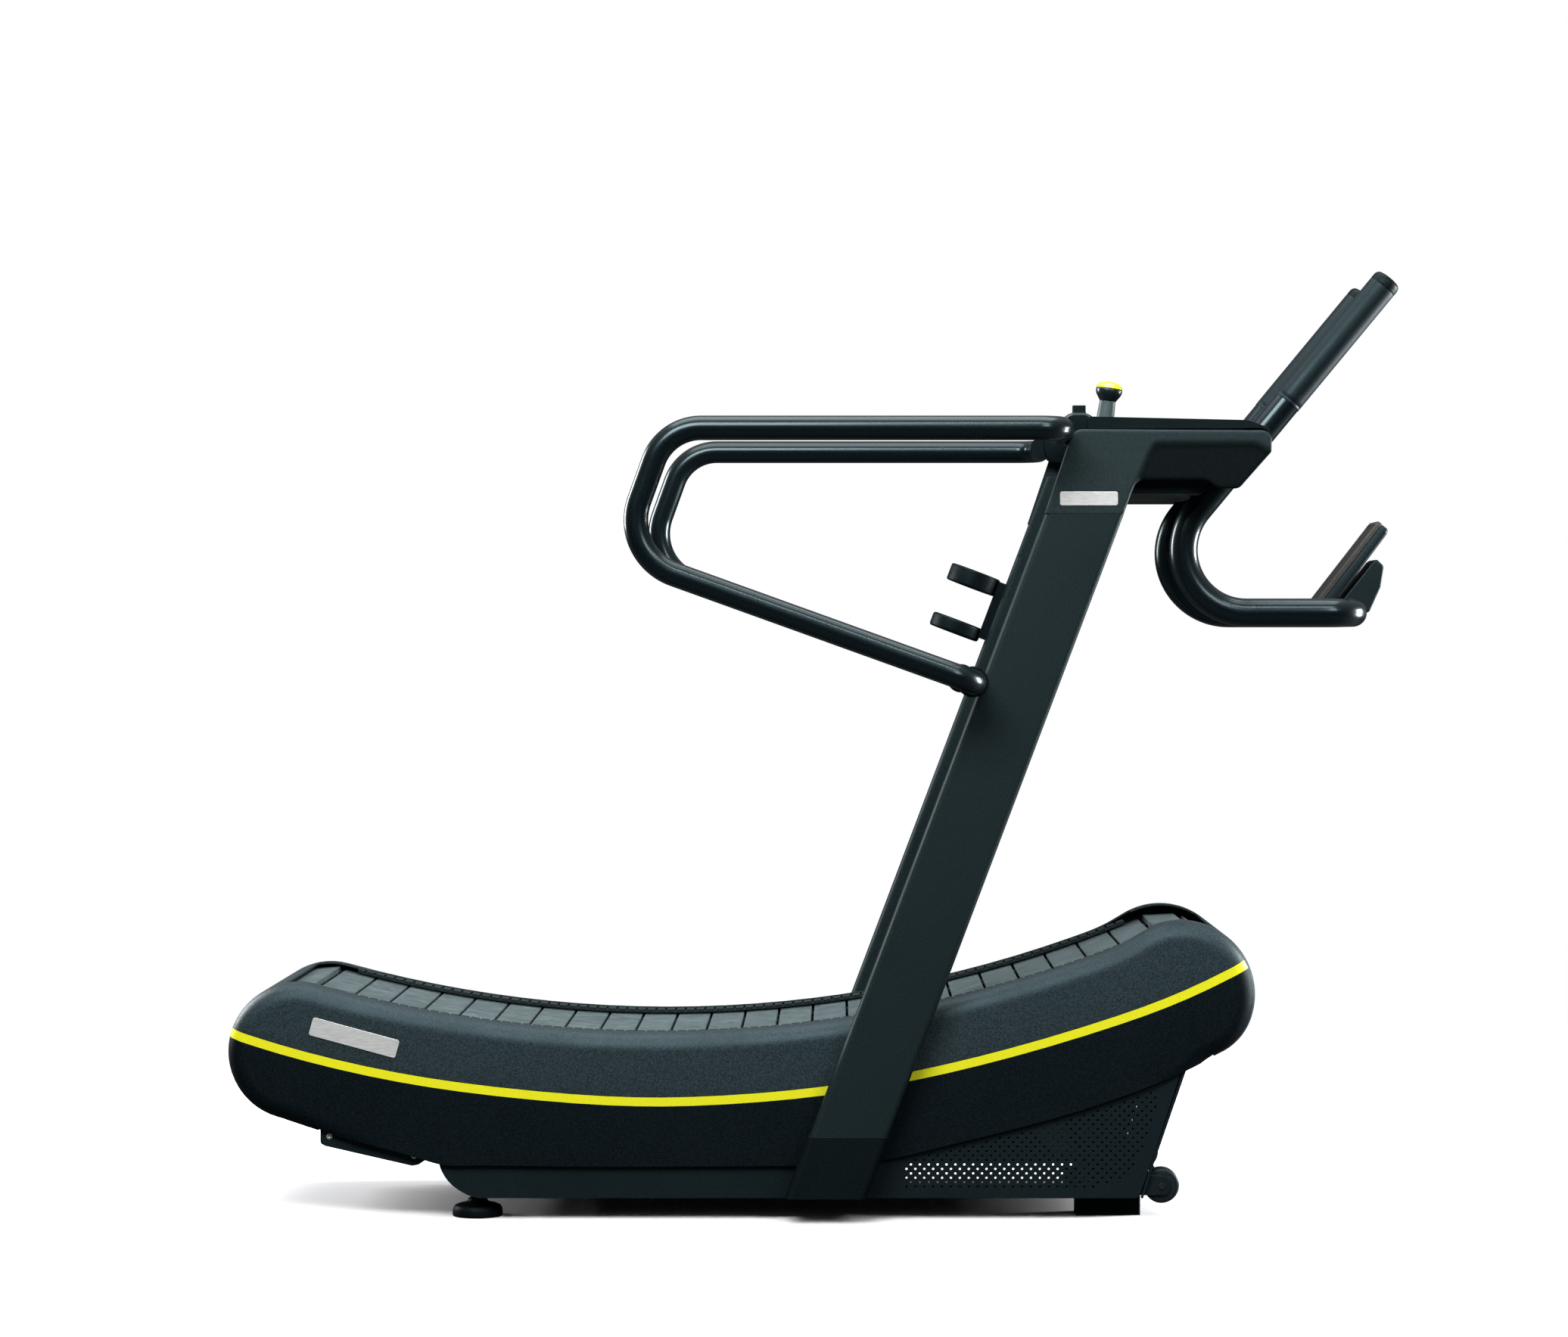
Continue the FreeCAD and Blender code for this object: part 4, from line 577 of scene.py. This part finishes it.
def make_rail(side):
    tube = sweep(rail_path(), RR, 56)
    kn = slab(KN, -313.0, -284.0, 5.0)
    collar = slab(rounded_outline([(403.0, 1404.8), (426.4, 1404.8), (426.4, 1406.4), (403.0, 1406.4)], 0.4, 2), -309.6, -287.4, 0.3, 2)
    foot = sweep(line(P(xe, -338, ze), P(xe, -330.5, ze), 4), [0.0262, 0.0270, 0.0270, 0.0270, 0.0262], 56)
    vf = merge(tube, kn, collar, foot)
    if side == "left":
        vf = mirror_y(vf)
    return obj("handrail_tube_" + side, vf[0], vf[1], M["tube_black"], "base", "handrail_" + side, "tube_black")


for s in ("right", "left"):
    make_rail(s)

UB = math.radians(50.4)
UC, UR, YT = (717.9, 1171.0), 111.0, 170.0
ut = (UC[0] + UR * math.cos(UB + math.pi / 2), UC[1] + UR * math.sin(UB + math.pi / 2))
ud = (math.cos(UB), math.sin(UB))
XB, ZL = 912.0, 1060.0


def low_path():
    half = []
    top = P(ut[0] + ud[0] * 138, YT, ut[1] + ud[1] * 138)
    half.append(line(top, P(ut[0], YT, ut[1]), 8))
    half.append([P(UC[0] + UR * math.cos(t), YT, UC[1] + UR * math.sin(t)) for t in [math.radians(140.4 + 129.6 * i / 30) for i in range(31)]])
    k = 52.0
    half.append(line(P(UC[0], YT, ZL), P(XB - k, YT, ZL), 8))
    half.append([P(XB - k + k * math.sin(t), YT - k + k * math.cos(t), ZL) for t in [math.radians(90 * i / 14) for i in range(15)]])
    a = join_paths(*half)
    b = [Vector((p.x, -p.y, p.z)) for p in a][::-1]
    return join_paths(a, line(a[-1], b[0], 16), b)


v, f = sweep(low_path(), 0.025, 56)
obj("low_handlebar_tube", v, f, M["tube_black"], "base", "low_handlebar", "tube_black")


def at(l, y):
    return P(ut[0] + ud[0] * l, y, ut[1] + ud[1] * l)


def push_handle(side):
    y = -YT if side == "right" else YT
    stub = sweep(line(at(138.3, y), at(247, y), 6), 0.025, 56)
    ls, rs = [], []
    # soft sleeve: a lip at its foot, then a long even sleeve
    prof = [(245.4, 24.9), (245.6, 25.5), (246.4, 25.8), (250, 25.8), (250.6, 25.4), (252, 25.4), (252.6, 25.8)]
    prof += [(l, 25.8) for l in range(260, 505, 12)] + [(508, 25.8), (510.4, 25.6), (511, 25.0)]
    pts = [at(l, y) for l, r in prof]
    sleeve = sweep(pts, [r / 1000.0 for l, r in prof], 64)
    a = obj("push_handle_tube_" + side, *stub, M["tube_black"], "base", "push_handle_" + side, "tube_black")
    b = obj("push_grip_" + side, *sleeve, M["grip_rubber"], "base", None, "tube_black")
    prof = [(0, 511.2), (25.0, 511.2), (25.8, 512.1), (25.8, 519.0), (25.4, 522.5), (23.8, 526.2), (20.8, 528.8), (16.6, 529.9), (9, 530), (0, 530)]
    c = obj("push_cap_" + side, *lathe([(r, h) for r, h in prof], at(0, y), (ud[0], 0, ud[1]), 64), M["console_black"], "base", "handle_end_caps", "console_black")


push_handle("right")
push_handle("left")


# ------------------------------------------------------------------ head side panels: rounded rim, soft dished pocket at the front, with painted shade in the pocket
from mathutils import geometry as mgeo


def seg_dist(px, pz, poly_):
    best = 1e9
    inside = False
    n = len(poly_)
    for i in range(n):
        (x0, z0), (x1, z1) = poly_[i - 1], poly_[i]
        dx, dz = x1 - x0, z1 - z0
        q = dx * dx + dz * dz
        t = 0.0 if q < 1e-12 else max(0.0, min(1.0, ((px - x0) * dx + (pz - z0) * dz) / q))
        best = min(best, math.hypot(px - x0 - t * dx, pz - z0 - t * dz))
        if (z0 > pz) != (z1 > pz) and px < (x1 - x0) * (pz - z0) / (z1 - z0) + x0:
            inside = not inside
    return best if inside else -best


def densify(pts, step):
    out = []
    for i in range(len(pts)):
        a, b = Vector(pts[i]), Vector(pts[(i + 1) % len(pts)])
        k = max(1, int(math.ceil((b - a).length / step)))
        out += [tuple(a.lerp(b, j / k)) for j in range(k)]
    return out


def post_x(z):
    return -92.8 + (z - 45.0) * 0.3786


SH = 1229.7
HP = [(post_x(SH) - 2.0, SH), (403.0, 1376.0), (746.5, 1374.0), (746.0, 1337.0), (690.0, 1273.5), (652.0, 1273.5), (634.0, 1288.8), (513.0, 1288.8), (488.9, SH)]
HR = [1.0, 22.0, 26.0, 8.0, 16.0, 34.0, 30.0, 22.0, 1.0]
RC = [(500.0, 1262.0), (531.0, 1336.0), (542.0, 1355.0), (722.0, 1355.0), (762.0, 1330.0), (762.0, 1200.0), (500.0, 1200.0)]
RCR = [0, 22, 18, 46, 0, 0, 0]


def head_mesh(side):
    outline = densify(rounded_outline(HP, HR, 10), 4.0)
    recess = rounded_outline(RC, RCR, 12)
    pts = [Vector(p) for p in outline]
    n0 = len(pts)
    for d in (0.35, 1.1, 2.2, 3.6):
        ring = inset(outline, d)
        pts += [Vector(p) for p in ring if seg_dist(p[0], p[1], outline) > d * 0.8]
    x0, x1 = min(p[0] for p in outline), max(p[0] for p in outline)
    z0, z1 = min(p[1] for p in outline), max(p[1] for p in outline)
    step = 3.2
    j = 0
    z = z0 + 1.5
    while z < z1:
        x = x0 + (step / 2 if j % 2 else 0.0)
        while x < x1:
            if seg_dist(x, z, outline) > 5.2:
                pts.append(Vector((x, z)))
            x += step
        z += step * 0.87
        j += 1
    vs, es, fs, _, _, _ = mgeo.delaunay_2d_cdt(pts, [(i, (i + 1) % n0) for i in range(n0)], [], 1, 1e-5)
    r = 4.0
    front, painted_shade = [], []
    for v in vs:
        e = max(0.0, seg_dist(v.x, v.y, outline))
        soft = r if v.y > SH + 6 else 0.8
        dy = soft - math.sqrt(max(0.0, soft * soft - (soft - e) ** 2)) if e < soft else 0.0
        # t masks the dished pocket: it sets the dish depth and the painted shade kept in the rec attribute
        t = max(0.0, min(1.0, (seg_dist(v.x, v.y, recess) + 3.0) / 14.0))
        t = t * t * (3 - 2 * t)
        front.append((v.x, 332.6 - dy - 5.0 * t, v.y))
        painted_shade.append(t)
    n = len(vs)
    sg = -1 if side == "right" else 1
    V = [P(x, sg * y, z) for x, y, z in front] + [P(v.x, sg * 320.1, v.y) for v in vs]
    F = [tuple(f) for f in fs] + [tuple(i + n for i in f)[::-1] for f in fs]
    count = {}
    for f in fs:
        for a, b in zip(f, list(f[1:]) + [f[0]]):
            count[(a, b)] = 1
    for (a, b) in list(count):
        if (b, a) not in count:
            F.append((b, a, a + n, b + n))
    me = bpy.data.meshes.new("head_shell_" + side)
    me.from_pydata([tuple(v) for v in V], [], F)
    # the rec attribute holds the painted shade mask for the pocket
    at_ = me.attributes.new("rec", "FLOAT", "POINT")
    at_.data.foreach_set("value", painted_shade + [0.0] * n)
    bm = bmesh.new()
    bm.from_mesh(me)
    bmesh.ops.recalc_face_normals(bm, faces=bm.faces)
    bm.to_mesh(me)
    bm.free()
    ob = bpy.data.objects.new("head_shell_" + side, me)
    scene.collection.objects.link(ob)
    me.materials.append(M["head_grey"])
    for p_ in me.polygons:
        p_.use_smooth = True
    me.set_sharp_from_angle(angle=math.radians(50))
    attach(ob, "base")
    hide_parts("head_panel_" + side)


head_mesh("right")
head_mesh("left")

# ------------------------------------------------------------------ display: warm grey rim, dark glass, deep soft-edged back
DA = math.radians(52.2)
dd = (math.cos(DA), math.sin(DA))
dn = (dd[1], -dd[0])
DT = (965.4, 1225.0)


def DP(l, y, t):
    return P(DT[0] - dd[0] * l + dn[0] * t, y, DT[1] - dd[1] * l + dn[1] * t)


def loop(l0, l1, w, r, t, n=8):
    o = rounded_outline([(l0, -w), (l1, -w), (l1, w), (l0, w)], r, n)
    return [DP(l, y, t(l) if callable(t) else t) for l, y in o]


rim = [loop(-1, 207, 60, 9, 8.8), loop(-1, 207, 60, 9, 2.6)]
for k in range(1, 6):
    a_ = math.radians(90 * k / 5)
    q = 2.6 * (1 - math.cos(a_))
    rim.append(loop(-1 + q, 207 - q, 60 - q, 9 - q * 0.6, 2.6 - 2.6 * math.sin(a_)))
rim += [loop(7.6, 186.4, 53.2, 5, 0.0), loop(8.0, 186.0, 52.8, 5, 0.25), loop(8.0, 186.0, 52.8, 5, 1.6)]
obj("display_rim", *loft_rings(rim), M["display_frame"], "base", "display_screen", "display_frame", angle=50)
gl = [loop(8.2, 185.8, 52.6, 4.8, 1.5), loop(8.2, 185.8, 52.6, 4.8, 0.75), loop(8.5, 185.5, 52.3, 4.6, 0.45), loop(9.2, 184.8, 51.6, 4.2, 0.4)]
obj("display_glass", *loft_rings(gl), M["screen_glass"], "base", None, "display_frame", angle=50)


def tb(l):
    return 27.4 + 3.6 * max(0.0, min(206.0, l)) / 206.0


bk = [loop(0.6, 205.4, 58.0, 8, 9.3), loop(0.0, 206.0, 58.5, 8, 10.2)]
for k in range(0, 8):
    a_ = math.radians(90 * k / 7)
    q = 7.0 * (1 - math.cos(a_))
    bk.append(loop(q, 206 - q, 58.5 - q, 8 + q * 0.3, lambda l, a_=a_: tb(l) - 7.0 + 7.0 * math.sin(a_)))
obj("display_back", *loft_rings(bk), M["display_black"], "base", "display_body", "display_black", angle=50)

# ------------------------------------------------------------------ resistance lever: turned stem, dark flared collar, glossy domed cap
lx, ly, lz = 456.4, -215.0, 1335.0
lean = math.radians(8.0)
lax = (math.sin(lean), 0.0, math.cos(lean))


def smooth_prof(p, n=5):
    out = []
    for i in range(len(p) - 1):
        p0, p1, p2, p3 = p[max(i - 1, 0)], p[i], p[i + 1], p[min(i + 2, len(p) - 1)]
        for k in range(n):
            t = k / n
            out.append(tuple(0.5 * (2 * p1[j] + (p2[j] - p0[j]) * t + (2 * p0[j] - 5 * p1[j] + 4 * p2[j] - p3[j]) * t * t + (3 * p1[j] - p0[j] - 3 * p2[j] + p3[j]) * t ** 3) for j in (0, 1)))
    out.append(p[-1])
    return out


stem = [(0, 0), (8.6, 0.0), (9.0, 0.4)] + smooth_prof([(9.0, 10), (9.4, 36), (12.6, 42), (15.2, 58), (15.2, 74), (14.3, 92), (14.2, 96.6)], 6) + [(0, 96.8)]
obj("lever_stem", *lathe(stem, P(lx, ly, lz), lax, 72), M["lever_grey"], "lever", "gear_lever", "lever_grey", angle=40)
hub = merge(lathe([(6.1, -10.4), (11.9, -10.4), (12.5, -9.8), (12.5, 9.8), (11.9, 10.4), (6.1, 10.4), (6.1, -10.4)], P(lx, ly, lz), (0, 1, 0), 56))
obj("lever_hub", *hub, M["lever_grey"], "lever", None, "lever_grey", angle=40)
col = [(0, 96.9), (14.0, 96.9), (14.6, 97.6)] + smooth_prof([(15.4, 99), (18.5, 103.5), (21.6, 108.5), (23.1, 113), (23.2, 116.4)], 5) + [(22.9, 117.8), (22.2, 118.4), (0, 118.5)]
obj("lever_collar", *lathe(col, P(lx, ly, lz), lax, 72), M["lever_collar"], "lever", None, "lever_grey", angle=40)
cap = [(0, 118.7), (22.3, 118.7), (22.9, 119.2)] + smooth_prof([(23.1, 119.8), (22.4, 122.2), (20.0, 125.3), (15.5, 128.3), (8.7, 130.4), (3.0, 130.95)], 5) + [(0, 131.0)]
obj("lever_cap_dome", *lathe(cap, P(lx, ly, lz), lax, 72), M["cap_yellow"], "lever", "lever_cap", "trim_yellow", angle=40)


# ------------------------------------------------------------------ stage, light, camera
def stage_scene():
    me = bpy.data.meshes.new("floor")
    L, N = 7.0, 24
    vs = [(-L + 2 * L * i / N, -L + 2 * L * j / N, 0) for j in range(N + 1) for i in range(N + 1)]
    fs = [(j * (N + 1) + i, j * (N + 1) + i + 1, (j + 1) * (N + 1) + i + 1, (j + 1) * (N + 1) + i) for j in range(N) for i in range(N)]
    me.from_pydata(vs, [], fs)
    fl = bpy.data.objects.new("stage_floor", me)
    scene.collection.objects.link(fl)
    fm = bpy.data.materials.new("stage_floor_pale")
    t, n, l = nt(fm)
    out = n.new("ShaderNodeOutputMaterial")
    p = n.new("ShaderNodeBsdfPrincipled")
    lpf = n.new("ShaderNodeLightPath")
    l.new(mixc(n, l, lpf.outputs["Is Camera Ray"], [0.04, 0.04, 0.042], [0.93, 0.93, 0.94]), p.inputs["Base Color"])
    p.inputs["Roughness"].default_value = 0.8
    p.inputs["Specular IOR Level"].default_value = 0.1
    tc = n.new("ShaderNodeTexCoord")
    ln = n.new("ShaderNodeVectorMath")
    ln.operation = "LENGTH"
    l.new(tc.outputs["Object"], ln.inputs[0])
    far = ramp(n, l, ln.outputs["Value"], 2.2, 5.2, 0.0, 1.0)
    fade = mathn(n, l, "MULTIPLY", far, mathn(n, l, "SUBTRACT", 2.0, far))
    tr = n.new("ShaderNodeBsdfTransparent")
    mx = n.new("ShaderNodeMixShader")
    l.new(fade, mx.inputs[0])
    l.new(p.outputs[0], mx.inputs[1])
    l.new(tr.outputs[0], mx.inputs[2])
    l.new(mx.outputs[0], out.inputs[0])
    me.materials.append(fm)

    # white to the camera; as a light it is bright overhead and dim towards the horizon, like a dark studio with a big overhead bank
    w = bpy.data.worlds.new("soft_studio")
    scene.world = w
    w.use_nodes = True
    t = w.node_tree
    n, l = t.nodes, t.links
    n.clear()
    out = n.new("ShaderNodeOutputWorld")
    cam_bg = n.new("ShaderNodeBackground")
    cam_bg.inputs["Color"].default_value = (1, 1, 1, 1)
    cam_bg.inputs["Strength"].default_value = 1.0
    lit = n.new("ShaderNodeBackground")
    lit.inputs["Color"].default_value = (0.96, 0.98, 1.0, 1)
    geo = n.new("ShaderNodeTexCoord")
    sep = n.new("ShaderNodeSeparateXYZ")
    l.new(geo.outputs["Generated"], sep.inputs[0])
    up = ramp(n, l, mathn(n, l, "POWER", mathn(n, l, "MAXIMUM", sep.outputs["Z"], 0.0), 1.6), 0.0, 0.9, 0.035, 0.85)
    l.new(up, lit.inputs["Strength"])
    lp = n.new("ShaderNodeLightPath")
    mx = n.new("ShaderNodeMixShader")
    l.new(lp.outputs["Is Camera Ray"], mx.inputs[0])
    l.new(lit.outputs[0], mx.inputs[1])
    l.new(cam_bg.outputs[0], mx.inputs[2])
    l.new(mx.outputs[0], out.inputs[0])

    def area(name, loc, target, size, power, col=(1, 1, 1)):
        d = bpy.data.lights.new(name, "AREA")
        d.shape = "RECTANGLE"
        d.size, d.size_y = size
        d.energy = power
        d.color = col
        o = bpy.data.objects.new(name, d)
        o.location = loc
        o.rotation_euler = (Vector(target) - Vector(loc)).to_track_quat("-Z", "Y").to_euler()
        scene.collection.objects.link(o)
        return o

    area("top_soft", (0.1, -0.1, 4.4), (0.1, 0.0, 0.2), (4.2, 2.4), 170)
    area("key_soft", (-1.2, -4.2, 3.9), (0.1, 0.0, 0.7), (2.6, 1.4), 225)
    area("fill_soft", (2.6, -4.6, 3.2), (0.4, 0.0, 0.5), (1.6, 1.6), 90)
    area("strip_high", (0.3, -2.4, 3.3), (0.3, 0.0, 1.1), (3.6, 0.22), 60)
    area("front_rim", (3.3, 0.5, 1.0), (0.65, 0.0, 0.45), (0.8, 1.3), 230)
    area("back_rim", (-3.4, 1.6, 1.9), (-0.1, 0.0, 0.9), (0.8, 2.0), 170)


stage_scene()
cam = bpy.data.cameras.new("photo_camera")
cam.sensor_width = 36.0
cam.sensor_fit = "HORIZONTAL"
cam.lens = 5392.0 / 2072.0 * 36.0
cam.shift_x = -74.0 / 2072.0
cam.shift_y = -36.5 / 2072.0
cam.clip_end = 100
co = bpy.data.objects.new("photo_camera", cam)
co.location = (XS, -7.380, 1.010)
co.rotation_euler = (math.radians(90), 0, 0)
scene.collection.objects.link(co)
scene.camera = co
scene.view_settings.view_transform = "Standard"
scene.view_settings.look = "None"
